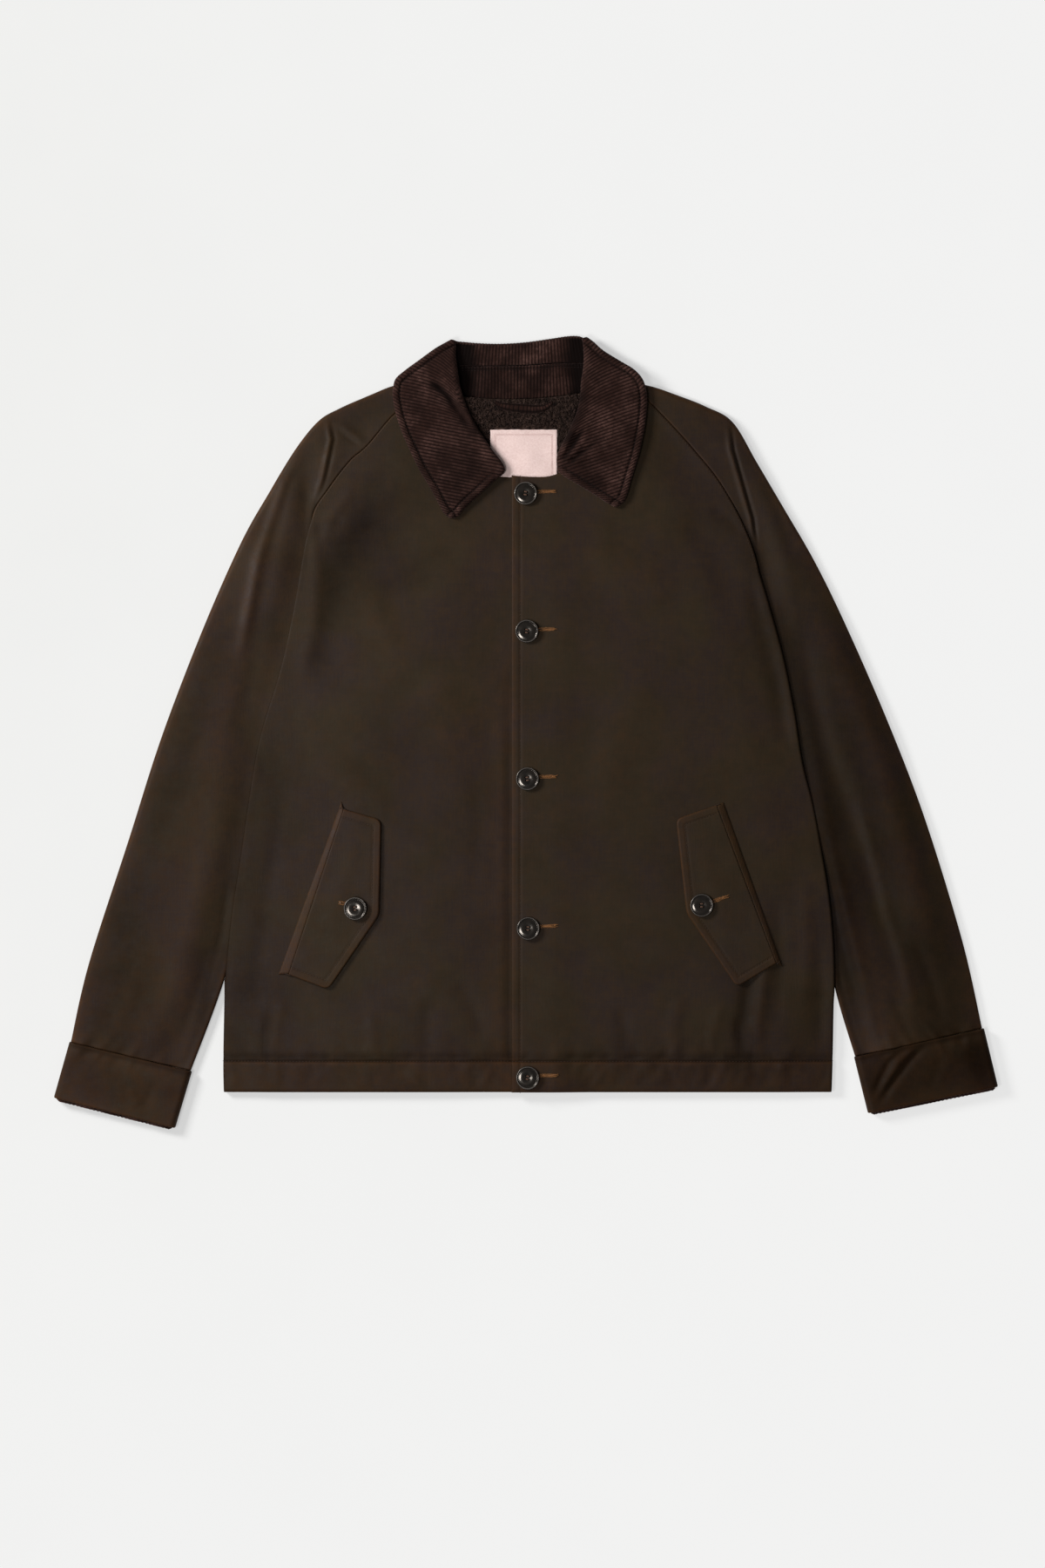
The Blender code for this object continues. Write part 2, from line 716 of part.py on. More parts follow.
def make_loop():
    """The hanger loop, a narrow strip that droops below the neck seam."""
    outer, inner = [], []
    path = [Vector(p) for p in steps_between(LOOP_PATH, 2)]
    for i, spot in enumerate(path):
        ahead = path[min(i + 1, len(path) - 1)] - path[max(i - 1, 0)]
        across = Vector((-ahead.y, ahead.x)).normalized() * LOOP_WIDTH / 2
        low = lining_levels(*spot)[1] + GAP
        outer.append([(*(spot + across * t), low + LOOP_WALL - 0.3 * abs(t)) for t in (-1, 0, 1)])
        inner.append([(*(spot + across * t), low) for t in (-1, 0, 1)])
    wall("hanger_loop", outer, inner, "corduroy")


def ring(inner_end, outer_end, low, high):
    """A flattened ring of cloth between two ends."""
    a, b = Vector(inner_end), Vector(outer_end)
    way = (b - a).normalized()
    radius = (high - low) / 2
    points = []
    for centre, flip in ((b - way * radius, 1), (a + way * radius, -1)):
        for degrees in (90, 54, 18, -18, -54, -90):
            across, up = math.cos(math.radians(degrees)), math.sin(math.radians(degrees))
            points.append((*(centre + way * flip * radius * across), low + radius + flip * radius * up))
        start, end, level = (b, a, low) if flip > 0 else (a, b, high)
        points += [(*start.lerp(end, t), level) for t in (0.35, 0.65)]
    return points


def make_cuff(side, table):
    """The cuff and the corduroy facing inside it, which shows at its end."""
    (ax, ay, bx, by), (cx, cy, dx, dy) = table
    a, b, c, d = Vector((ax, ay)), Vector((bx, by)), Vector((cx, cy)), Vector((dx, dy))
    down = ((c - a) + (d - b)).normalized()
    across = (b - a).normalized()
    outer, inner = [], []
    for share, tuck in ((0.0, 0.5), (0.06, 0.0), (0.5, 0.0), (0.94, 0.0), (1.0, 0.4)):
        p, q = a.lerp(c, share), b.lerp(d, share)
        outer.append(ring(p + across * tuck, q - across * tuck, 0.0, CUFF_TOP - tuck))
        inset = across * CUFF_WALL
        inner.append(ring(p + inset, q - inset, CUFF_WALL, CUFF_TOP - CUFF_WALL))
    tube(f"cuff_{side}", outer, inner, "shell")
    low = CUFF_WALL + GAP
    high = CUFF_TOP - CUFF_WALL - GAP
    outer, inner = [], []
    for run in (-FACING_DEPTH, -FACING_DEPTH / 2, 0.0, FACING_PEEP):
        p, q = c + down * run, d + down * run
        for rings, extra in ((outer, 0.0), (inner, FACING_WALL)):
            inset = across * (CUFF_WALL + GAP + extra + 0.4)
            rings.append(ring(p + inset, q - inset, low + extra, high - extra))
    tube(f"cuff_facing_{side}", outer, inner, "corduroy")


def rounded(corners, radius, keep):
    """An outline with its corners rounded, apart from those kept sharp."""
    points = []
    for i, corner in enumerate(corners):
        here = Vector(corner)
        before = (Vector(corners[i - 1]) - here).normalized()
        after = (Vector(corners[(i + 1) % len(corners)]) - here).normalized()
        reach = 1.0 if i in keep else radius
        first, last = here + before * reach, here + after * reach
        for t in (0.0, 0.33, 0.67, 1.0):
            points.append(first * (1 - t) ** 2 + here * 2 * t * (1 - t) + last * t**2)
    return [(p.x, p.y) for p in points]


def make_flap(side, corners):
    """A pocket flap lying on its front, sewn along the side that faces the sleeve."""
    outline = rounded(corners, FLAP_CORNER, keep=(0, 2, 4))
    low = FRONT_REST + BODY_WALL + GAP + 0.2
    plate(f"pocket_flap_{side}", outline, low, low + FLAP_WALL, 0.8, "shell")
    return low + FLAP_WALL


def button_mesh():
    """A turned button with a raised rim, a dish and four holes."""
    rim, dish = BUTTON_HIGH, BUTTON_HIGH - BUTTON_DISH
    profile = (
        (BUTTON_RADIUS - 1.6, 0.0),
        (BUTTON_RADIUS, 1.4),
        (BUTTON_RADIUS - 0.2, rim - 0.6),
        (BUTTON_RADIUS - 1.0, rim),
        (BUTTON_RADIUS - BUTTON_RIM, rim - 0.2),
        (BUTTON_RADIUS - BUTTON_RIM - 1.2, dish),
    )
    points, faces = [], []
    for radius, z in profile:
        for k in range(BUTTON_SIDES):
            turn = math.tau * k / BUTTON_SIDES
            points.append((radius * math.cos(turn), radius * math.sin(turn), z))
    for i in range(len(profile) - 1):
        for k in range(BUTTON_SIDES):
            n = (k + 1) % BUTTON_SIDES
            a, b = i * BUTTON_SIDES, (i + 1) * BUTTON_SIDES
            faces.append((a + k, a + n, b + n, b + k))
    faces.append(tuple(range(BUTTON_SIDES)))
    faces.append(tuple(range(len(points) - BUTTON_SIDES, len(points))))
    disc = add_object("button_blank", points, faces, "horn")
    cutters = []
    for k in range(4):
        turn = math.tau * (k + 0.5) / 4
        spot = Vector((math.cos(turn), math.sin(turn))) * BUTTON_HOLE_AT
        sides = [math.tau * n / HOLE_SIDES for n in range(HOLE_SIDES)]
        circle = [spot + Vector((math.cos(s), math.sin(s))) * BUTTON_HOLE for s in sides]
        drill = plate(f"drill_{k}", [(p.x, p.y) for p in circle], -2.0, BUTTON_HIGH + 2.0, 0.1, "horn")
        cut = disc.modifiers.new(f"hole_{k}", "BOOLEAN")
        cut.operation = "DIFFERENCE"
        cut.object = drill
        cutters.append(drill)
    graph = bpy.context.evaluated_depsgraph_get()
    mesh = bpy.data.meshes.new_from_object(disc.evaluated_get(graph))
    for helper in [disc, *cutters]:
        bpy.data.objects.remove(helper, do_unlink=True)
    return mesh


def make_buttons(flap_top):
    mesh = button_mesh()
    placket_top = PLACKET_OVER + BODY_WALL + GAP
    places = [(f"button_front_{i + 1}", x, y, placket_top) for i, (x, y) in enumerate(FRONT_BUTTONS)]
    places += [(f"button_flap_{side}", x, y, flap_top + GAP) for side, x, y in FLAP_BUTTONS]
    for name, x, y, z in places:
        button = bpy.data.objects.new(name, mesh)
        button.location = Vector((x, y, z)) * MM
        bpy.context.scene.collection.objects.link(button)


def main():
    clear_scene()
    make_back()
    make_front("right", SLEEVE_RIGHT, JOIN_RIGHT, SIDE_RIGHT, NECK_RIGHT, under=True)
    make_front("left", SLEEVE_LEFT, JOIN_LEFT, SIDE_LEFT, NECK_LEFT, under=False)
    make_sleeve("right", SLEEVE_RIGHT)
    make_sleeve("left", SLEEVE_LEFT)
    make_cuff("right", CUFF_RIGHT)
    make_cuff("left", CUFF_LEFT)
    make_neck_lining()
    make_label()
    make_loop()
    make_stand_back()
    make_stand_front("right", LEAF_RIGHT, NECK_RIGHT)
    make_stand_front("left", LEAF_LEFT, NECK_LEFT)
    make_fall()
    make_leaf("right", LEAF_RIGHT)
    make_leaf("left", LEAF_LEFT)
    make_flap("right", FLAP_RIGHT)
    flap_top = make_flap("left", FLAP_LEFT)
    make_buttons(flap_top)


main()
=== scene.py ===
import math
import random

import bmesh
import bpy
import numpy as np
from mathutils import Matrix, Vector
from mathutils.bvhtree import BVHTree


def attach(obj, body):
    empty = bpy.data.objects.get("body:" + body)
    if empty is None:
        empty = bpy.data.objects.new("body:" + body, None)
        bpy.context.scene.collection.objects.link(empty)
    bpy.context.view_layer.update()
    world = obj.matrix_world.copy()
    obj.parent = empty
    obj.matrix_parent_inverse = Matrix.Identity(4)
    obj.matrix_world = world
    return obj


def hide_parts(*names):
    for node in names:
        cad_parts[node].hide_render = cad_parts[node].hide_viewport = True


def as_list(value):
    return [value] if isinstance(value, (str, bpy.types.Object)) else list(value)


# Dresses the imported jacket: creased cloth shells, corduroy, fleece, sewing and buttons.
# Sizes are millimetres until a mesh is made. +X is the wearer's left, +Y is towards the collar.
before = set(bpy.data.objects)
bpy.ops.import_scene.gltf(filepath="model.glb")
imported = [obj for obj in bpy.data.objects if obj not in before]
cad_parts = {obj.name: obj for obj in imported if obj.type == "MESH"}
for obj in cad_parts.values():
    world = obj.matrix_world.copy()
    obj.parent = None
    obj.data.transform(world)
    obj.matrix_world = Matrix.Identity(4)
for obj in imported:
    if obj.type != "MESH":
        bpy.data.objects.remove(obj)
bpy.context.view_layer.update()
bothSides = ("right", "left")
print("frame loaded:", len(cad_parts), "nodes")


# Shape helpers
def easeStep(t):  # 0 below 0, 1 above 1, smooth between
    t = np.clip(t, 0.0, 1.0)
    return t * t * (3 - 2 * t)


def blendTo(a, b, t):
    return a + (b - a) * t


def roundOver(distance, radius):  # height share of a rounded edge, 0 at the edge and 1 a radius in
    u = np.clip(distance / radius, 0.0, 1.0)
    return np.sqrt(np.clip(1 - (1 - u) ** 2, 0.0, 1.0))


def edgeDrop(distance, radius):
    return 1 - roundOver(distance, radius)


def bell(distance, width):
    return np.exp(-((distance / width) ** 2))


def runAlong(path):  # the length run at each point of a line
    return np.concatenate([[0], np.cumsum(np.hypot(*np.diff(path, axis=0).T))])


def curveAt(rows, places):  # smooth values at fractional places in a table
    rows = np.asarray(rows, float)
    places = np.asarray(places, float)
    i = np.clip(places.astype(int), 0, len(rows) - 2)
    t = (places - i)[:, None]
    a, b, c, d = (rows[np.clip(i + k, 0, len(rows) - 1)] for k in (-1, 0, 1, 2))
    return 0.5 * (2 * b + (c - a) * t + (2 * a - 5 * b + 4 * c - d) * t**2 + (3 * b - a - 3 * c + d) * t**3)


def evenCurve(rows, pitch, ends=(), fine=0.0, finePitch=1.0):
    # Rows at one pitch along the middle of their two plan points, finer over a first stretch
    dense = curveAt(rows, np.linspace(0, len(rows) - 1, (len(rows) - 1) * 24 + 1))
    run = runAlong((dense[:, :2] + dense[:, 2:4]) / 2)
    count = max(2, int(round((run[-1] - fine) / pitch)))
    goals = np.concatenate([np.arange(0, fine, finePitch), np.linspace(fine, run[-1], count + 1)])
    if len(ends):  # finer rows near the last one
        goals = np.concatenate([goals[goals < run[-1] - max(ends) - 0.5], run[-1] - np.asarray(ends, float)])
    return np.stack([np.interp(goals, run, dense[:, k]) for k in range(dense.shape[1])], axis=1), goals


def softNoise(x, y, size, seed):  # gentle uneven waves about one size long, from -1 to 1
    maker = random.Random(seed)
    total = 0.0
    for _ in range(9):
        turn = maker.uniform(0, math.tau)
        wave = math.tau / (size * maker.uniform(0.7, 1.6))
        total = total + np.sin((x * math.cos(turn) + y * math.sin(turn)) * wave + maker.uniform(0, math.tau))
    return total / 4.5


def pathDistance(x, y, path):  # distance to a line through points, and the share run along it
    x, y = np.broadcast_arrays(x, y)
    path = np.asarray(path, float)
    spans = np.hypot(*np.diff(path, axis=0).T)
    best = np.full(x.shape, 1e9)
    share = np.zeros(x.shape)
    run = 0.0
    for a, b, span in zip(path, path[1:], spans):
        t = np.clip(((x - a[0]) * (b[0] - a[0]) + (y - a[1]) * (b[1] - a[1])) / span**2, 0, 1)
        away = np.hypot(x - a[0] - t * (b[0] - a[0]), y - a[1] - t * (b[1] - a[1]))
        near = away < best
        best = np.where(near, away, best)
        share = np.where(near, (run + t * span) / spans.sum(), share)
        run += span
    return best, share


def creaseHeight(x, y, table):  # ridges and troughs: path, half width, rise
    total = 0.0
    for path, width, rise in table:
        away, share = pathDistance(x, y, path)
        total = total + rise * easeStep(share * 4) * easeStep((1 - share) * 4) * bell(away, width)
    return total


def puckerHeight(along, across, table):
    # Short ripples that cross a seam: place, half width, reach, rise and slant
    total = 0.0
    for place, width, reach, rise, slant in table:
        total = total + rise * bell(along - place - across * slant, width) * bell(across, reach)
    return total


def puckerTable(first, last, gap, rise, seed):
    maker = random.Random(seed)
    table, place = [], first
    while place < last:
        sign = maker.choice((-1, 1, 1))
        size = sign * rise * maker.uniform(0.3, 1.0)
        table.append((place, maker.uniform(2.2, 5.5), maker.uniform(7, 17), size, maker.uniform(-0.7, 0.7)))
        place += gap * maker.uniform(0.4, 1.7)
    return table


def placeObject(name, data):
    thing = bpy.data.objects.new(name, data)
    bpy.context.scene.collection.objects.link(thing)
    return thing


def slab(name, outer, inner, material, ringed=False, **layers):
    # A closed wall between an outer and an inner grid of points, whose rows may be rings
    outer, inner = np.asarray(outer, float), np.asarray(inner, float)
    n, m = outer.shape[:2]
    points = np.concatenate([outer.reshape(-1, 3), inner.reshape(-1, 3)]) * 0.001
    rim = np.arange(m if ringed else m - 1)
    i, j = np.meshgrid(np.arange(n - 1), rim, indexing="ij")
    k = (j + 1) % m
    quads = np.stack([i * m + j, i * m + k, (i + 1) * m + k, (i + 1) * m + j], axis=-1).reshape(-1, 4)
    faces = [quads, quads[:, ::-1] + n * m]
    for row in (0, n - 1):
        a, b = row * m + rim, row * m + (rim + 1) % m
        faces.append(np.stack([a, b, b + n * m, a + n * m], axis=1))
    if not ringed:
        for column in (0, m - 1):
            a = np.arange(n - 1) * m + column
            faces.append(np.stack([a, a + m, a + m + n * m, a + n * m], axis=1))
    thing = meshObject(name, points, np.concatenate(faces), material)
    for word, values in layers.items():
        both = np.concatenate([np.broadcast_to(values, (n, m)).ravel()] * 2)
        thing.data.attributes.new(word, "FLOAT", "POINT").data.foreach_set("value", both.astype(np.float32))
    return thing


def meshObject(name, points, faces, material):
    mesh = bpy.data.meshes.new(name)
    mesh.from_pydata([tuple(p) for p in points], [], [tuple(int(v) for v in f) for f in faces])
    form = bmesh.new()
    form.from_mesh(mesh)
    bmesh.ops.recalc_face_normals(form, faces=form.faces)
    form.to_mesh(mesh)
    form.free()
    mesh.shade_smooth()
    mesh.materials.append(material)
    return placeObject(name, mesh)


def settle(thing, slot, *replaced):  # the piece lies with the rest and stands for its solids
    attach(thing, "root")
    if replaced:
        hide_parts(*replaced)
    return thing


def stacked(x, y, z):
    return np.stack(np.broadcast_arrays(x, y, z), axis=-1)


def layFlat(name, slot, node, x, y, high, low, material, **layers):  # a wall whose two faces share one plan
    return settle(slab(name, stacked(x, y, high), stacked(x, y, low), material, **layers), slot, node)


# Material helpers
def setSheen(tree, shader, look, rough):
    sheen = {"Sheen_Weight": look["sheen"], "Sheen_Tint": look["sheenTint"]}
    setInputs(tree, shader, **sheen, Sheen_Roughness=rough)


def newMaterial(name):  # with its tree, its shader and the object coordinates
    material = bpy.data.materials.new(name)
    material.use_nodes = True
    tree = material.node_tree
    place = addNode(tree, "ShaderNodeTexCoord").outputs["Object"]
    return material, tree, tree.nodes["Principled BSDF"], place


def setInputs(tree, node, **inputs):  # at0, at1 … are sockets by number
    for key, value in inputs.items():
        socket = node.inputs[int(key[2:]) if key.startswith("at") else key.replace("_", " ")]
        if isinstance(value, bpy.types.NodeSocket):
            tree.links.new(value, socket)
        else:
            socket.default_value = value


def addNode(tree, kind, settings=None, **inputs):
    node = tree.nodes.new(kind)
    for key, value in (settings or {}).items():
        setattr(node, key, value)
    setInputs(tree, node, **inputs)
    return node


def layerOf(tree, word):
    return addNode(tree, "ShaderNodeAttribute", {"attribute_name": word}).outputs["Fac"]


def noiseNode(tree, vector, scale, detail=3.0, rough=0.55):
    sizes = {"Vector": vector, "Scale": scale, "Detail": detail, "Roughness": rough}
    return addNode(tree, "ShaderNodeTexNoise", **sizes).outputs[0]


def stretched(tree, vector, sizes):  # object coordinates stretched along one way
    return addNode(tree, "ShaderNodeMapping", Vector=vector, Scale=sizes).outputs[0]


def mixColours(tree, share, first, second):
    first, second = ((*value, 1.0) if isinstance(value, tuple) else value for value in (first, second))
    return addNode(tree, "ShaderNodeMix", {"data_type": "RGBA"}, at0=share, at6=first, at7=second).outputs[2]


def ramp(tree, value, low, high, first=0.0, last=1.0):
    limits = {"From_Min": low, "From_Max": high, "To_Min": first, "To_Max": last}
    return addNode(tree, "ShaderNodeMapRange", {"clamp": True}, Value=value, **limits).outputs[0]


def mathNode(tree, kind, a, b):
    return addNode(tree, "ShaderNodeMath", {"operation": kind}, at0=a, at1=b).outputs[0]


def bumpOnto(tree, shader, height, strength, distance):
    node = addNode(tree, "ShaderNodeBump", Strength=strength, Distance=distance, Height=height)
    setInputs(tree, shader, Normal=node.outputs[0])


# Waxed cotton
waxLook = {
    "deep": (0.0222, 0.0136, 0.0104),
    "dark": (0.0250, 0.0164, 0.0080),
    "warm": (0.0346, 0.0183, 0.0076),
    "rubbed": (0.0780, 0.0265, 0.0058),
    "heavy": (0.0016, 0.0010, 0.0006),  # near-black colour that paints shade
    "patch": 14.0,
    "scuff": 34.0,
    "smear": 27.0,
    "mottle": 90.0,
    "weave": 1500.0,
    "rough": (0.50, 0.66),
    "gloss": (0.10, 0.03),
    "sheen": 0.02,
    "sheenTint": (0.9, 0.7, 0.5, 1.0),
}


def makeWaxCloth():
    material, tree, shader, place = newMaterial("waxedCotton")
    patch = noiseNode(tree, place, waxLook["patch"], 4.0)
    mottle = noiseNode(tree, place, waxLook["mottle"], 5.0, 0.65)
    warp = noiseNode(tree, stretched(tree, place, (1.0, 0.07, 1.0)), waxLook["weave"] * 0.5, 2.0)
    weft = noiseNode(tree, stretched(tree, place, (0.07, 1.0, 1.0)), waxLook["weave"] * 0.5, 2.0)
    wear = layerOf(tree, "wear")
    ground = mixColours(tree, ramp(tree, patch, 0.40, 0.60), waxLook["deep"], waxLook["dark"])
    scuff = noiseNode(tree, place, waxLook["scuff"], 8.0, 0.75)
    ground = mixColours(tree, ramp(tree, scuff, 0.56, 0.72, 0.0, 0.6), ground, waxLook["warm"])
    ground = mixColours(tree, ramp(tree, mottle, 0.45, 0.75, 0.0, 0.55), ground, waxLook["warm"])
    thread = mathNode(tree, "ADD", warp, weft)
    ground = mixColours(tree, ramp(tree, thread, 0.9, 1.25, 0.0, 0.35), ground, waxLook["warm"])
    edge = mathNode(tree, "MULTIPLY", wear, ramp(tree, mottle, 0.25, 0.7, 0.16, 0.64))
    colour = mixColours(tree, edge, ground, waxLook["rubbed"])
    # Painted shade: where shade is painted, plus a random smear of darker tone, the colour is pulled towards
    # near black and the gloss drops
    heavy = layerOf(tree, "heavy")
    smear = noiseNode(tree, place, waxLook["smear"], 6.0, 0.72)
    heavy = mathNode(tree, "ADD", heavy, ramp(tree, smear, 0.42, 0.68, 0.0, 0.15))
    colour = mixColours(tree, heavy, colour, waxLook["heavy"])
    rough = ramp(tree, mottle, 0.3, 0.7, *waxLook["rough"])
    gloss = ramp(tree, heavy, 0.0, 0.7, *waxLook["gloss"])
    setInputs(tree, shader, Base_Color=colour, Roughness=rough, Specular_IOR_Level=gloss)
    setSheen(tree, shader, waxLook, 0.5)
    fine = noiseNode(tree, place, 420.0, 3.0)
    weave, nap = mathNode(tree, "MULTIPLY", thread, 0.5), mathNode(tree, "MULTIPLY", fine, 0.6)
    bumpOnto(tree, shader, mathNode(tree, "ADD", weave, nap), 0.35, 0.0004)
    return material


# Corduroy
cordLook = {
    "groove": (0.0030, 0.0014, 0.0011),
    "ridge": (0.0360, 0.0158, 0.0118),
    "wornAndHighlit": (0.1120, 0.0565, 0.0460),
    "gloss": 0.05,
    "sheen": 0.11,
    "sheenTint": (0.75, 0.52, 0.48, 1.0),
}


def makeCorduroy():
    material, tree, shader, place = newMaterial("corduroy")
    wale = layerOf(tree, "wale")
    patch = noiseNode(tree, place, 45.0, 4.0, 0.6)
    pile = noiseNode(tree, place, 900.0, 3.0, 0.7)
    # The wale attribute carries painted shade: the groove colour paints shade in the grooves, the ridge
    # colour the lit ridges
    colour = mixColours(tree, ramp(tree, wale, 0.1, 0.9), cordLook["groove"], cordLook["ridge"])
    broken = noiseNode(tree, place, 230.0, 3.0, 0.7)
    # Painted highlight on lit ridges in patches, which also stand for rubbed pile
    lit = mathNode(tree, "MULTIPLY", ramp(tree, patch, 0.40, 0.66), ramp(tree, wale, 0.35, 1.0))
    lit = mathNode(tree, "MULTIPLY", lit, ramp(tree, broken, 0.34, 0.66, 0.25, 1.25))
    colour = mixColours(tree, ramp(tree, broken, 0.42, 0.70, 0.35, 0.0), colour, cordLook["groove"])
    colour = mixColours(tree, mathNode(tree, "MULTIPLY", lit, 0.85), colour, cordLook["wornAndHighlit"])
    colour = mixColours(tree, ramp(tree, pile, 0.35, 0.75, 0.0, 0.45), colour, cordLook["groove"])
    setInputs(tree, shader, Base_Color=colour, Roughness=0.85, Specular_IOR_Level=cordLook["gloss"])
    setSheen(tree, shader, cordLook, 0.45)
    bumpOnto(tree, shader, pile, 0.6, 0.0005)
    return material


# The other finishes
otherLooks = {  # two colours, size of the grain, roughness and gloss
    "fleece": ((0.0070, 0.0040, 0.0032), (0.0520, 0.0310, 0.0240), 260.0, 0.95, 0.1),
    "labelCloth": ((0.70, 0.51, 0.47), (0.82, 0.64, 0.60), 700.0, 0.6, 0.3),
    "horn": ((0.0016, 0.0014, 0.0012), (0.0100, 0.0072, 0.0056), 170.0, 0.17, 0.75),
    "tanThread": ((0.150, 0.060, 0.018), (0.300, 0.130, 0.040), 900.0, 0.55, 0.3),
    "brownThread": ((0.014, 0.007, 0.0032), (0.034, 0.015, 0.0055), 900.0, 0.6, 0.3),
    "darkThread": ((0.006, 0.003, 0.0025), (0.014, 0.007, 0.0055), 900.0, 0.7, 0.2),
    "buttonThread": ((0.060, 0.032, 0.020), (0.130, 0.070, 0.045), 900.0, 0.6, 0.3),
    "labelThread": ((0.34, 0.17, 0.15), (0.45, 0.26, 0.23), 900.0, 0.6, 0.3),
}
# Painted highlight: a lighter, rougher colour on the rim's crest stands in for a ring of reflected light
hornRim = {"colour": (0.068, 0.060, 0.054), "rough": 0.10, "tint": (1.0, 0.90, 0.80, 1.0)}


def makePlain(name):
    first, second, scale, matt, gloss = otherLooks[name]
    material, tree, shader, place = newMaterial(name)
    grain = noiseNode(tree, place, scale, 4.0, 0.6)
    colour = mixColours(tree, ramp(tree, grain, 0.3, 0.7), first, second)
    rough = ramp(tree, grain, 0.3, 0.7, matt * 0.9, min(matt * 1.15, 1.0))
    if name == "horn":
        # painted highlight on the rim
        rim = layerOf(tree, "rim")
        colour = mixColours(tree, rim, colour, hornRim["colour"])
        rough = mathNode(tree, "ADD", rough, mathNode(tree, "MULTIPLY", rim, hornRim["rough"]))
        setInputs(tree, shader, Specular_Tint=hornRim["tint"])
    setInputs(tree, shader, Base_Color=colour, Roughness=rough, Specular_IOR_Level=gloss)
    bumpOnto(tree, shader, grain, 0.03 if name == "horn" else 0.25, 0.0003)
    return material


waxCloth = makeWaxCloth()
corduroy = makeCorduroy()
finishes = {name: makePlain(name) for name in otherLooks}
print("materials made:", 2 + len(finishes))


# The cut, in plan
# Sleeve rows from neck to cuff: seam side x and y, folded side x and y, height at the seam and at the crown
sleeveRows = {
    "right": (
        (-89, 327, -96, 341, 10.8, 10.8), (-108, 317, -112, 335, 10.6, 10.6),
        (-128, 303, -129, 332, 10.3, 10.3), (-152, 275, -154, 322, 10.0, 10.0),
        (-169, 260, -179, 311, 9.8, 9.8), (-189, 234, -199, 299, 9.3, 9.8), (-205, 206, -221, 272, 6.3, 9.8),
        (-203, 160, -246, 231, 6.3, 9.8), (-211, 105, -274, 181, 6.3, 9.8), (-231, 30, -311, 97, 6.3, 9.8),
        (-252, -55, -350, -5, 6.3, 9.8), (-268, -151, -382, -105, 6.3, 9.8),
        (-290, -239, -420, -223, 6.3, 9.8), (-322.1, -326.25, -437.3, -298.35, 6.6, 9.8),
    ),
    "left": (
        (85, 333, 88, 344, 10.8, 10.8), (102, 328, 105, 336, 10.6, 10.6), (119, 317, 124, 331.5, 10.3, 10.3),
        (143, 293, 149, 323, 10.0, 10.0), (166, 267, 174, 313, 9.8, 9.8), (188, 239, 200, 298, 9.3, 9.8),
        (211, 197, 224, 258, 8.0, 9.8), (225, 154, 250, 214, 6.3, 9.8), (229, 101, 279, 164, 6.3, 9.8),
        (243, 32, 307, 107, 6.3, 9.8), (262, -60, 346, 18, 6.3, 9.8), (280, -150, 384, -80, 6.3, 9.8),
        (298, -244, 421, -200, 6.3, 9.8), (318, -312.3, 440.4, -285.5, 6.6, 9.8),
    ),
}
joinRow = {"right": 6, "left": 7}  # where each raglan seam runs under the fold of the body
sideRows = {  # the body's fold below that: x, y and the height it lies at
    "right": (
        (-205, 206, 6.6), (-212, 181, 6.6), (-223, 118, 6.6), (-236, 59, 6.6), (-256, -8, 6.6),
        (-266, -65, 6.6), (-274, -120, 6.6), (-282, -171, 6.6), (-287, -217, 6.6), (-288.5, -240, 6.4),
        (-289.5, -262, 4.6), (-290.5, -316.9, 4.3), (-290, -346.9, 4.3),
    ),
    "left": (
        (225, 154, 6.6), (236, 118, 6.6), (249, 70, 6.6), (259, 20, 6.6), (267, -30, 6.6), (277, -70, 6.6),
        (285, -113, 6.6), (292, -155, 6.6), (296.5, -200, 6.6), (297.8, -244, 6.4), (297, -264, 4.6),
        (296, -316.9, 4.3), (295, -346.9, 4.3),
    ),
}
seamRest = (7.3, 7.1, 6.6, 6.1, 5.8, 5.8, 6.6, 6.6)
neckLine = {
    "right": (
        (23, 244.4), (-13, 245.3), (-28, 247), (-49, 254.5), (-68, 269), (-81, 288), (-88, 309), (-89, 327),
    ),
    "left": ((-13, 246), (6, 244.6), (25, 245.6), (44, 253.7), (61, 269), (75, 288), (82, 311), (85, 333)),
}
hemY = -346.9
bodyWall = 4.0
overFall = {"rise": 3.7, "wall": 3.0}  # where the body lies on the collar's fall


def backNeck(x):
    return 320.0 + 0.036 * x + 0.0013 * x * x


def frontNeck(x):
    lines = [sorted(neckLine[side]) for side in bothSides]
    return np.maximum(*(np.interp(x, *zip(*line)) for line in lines))


def liftShare(x, y):  # 1 on the fall, 0 away from it
    edge = 307.4 + 28.0 * (x / 120.0) ** 2
    return easeStep((y - edge + 30.0) / 22.0) * easeStep((152.0 - np.abs(x)) / 22.0)
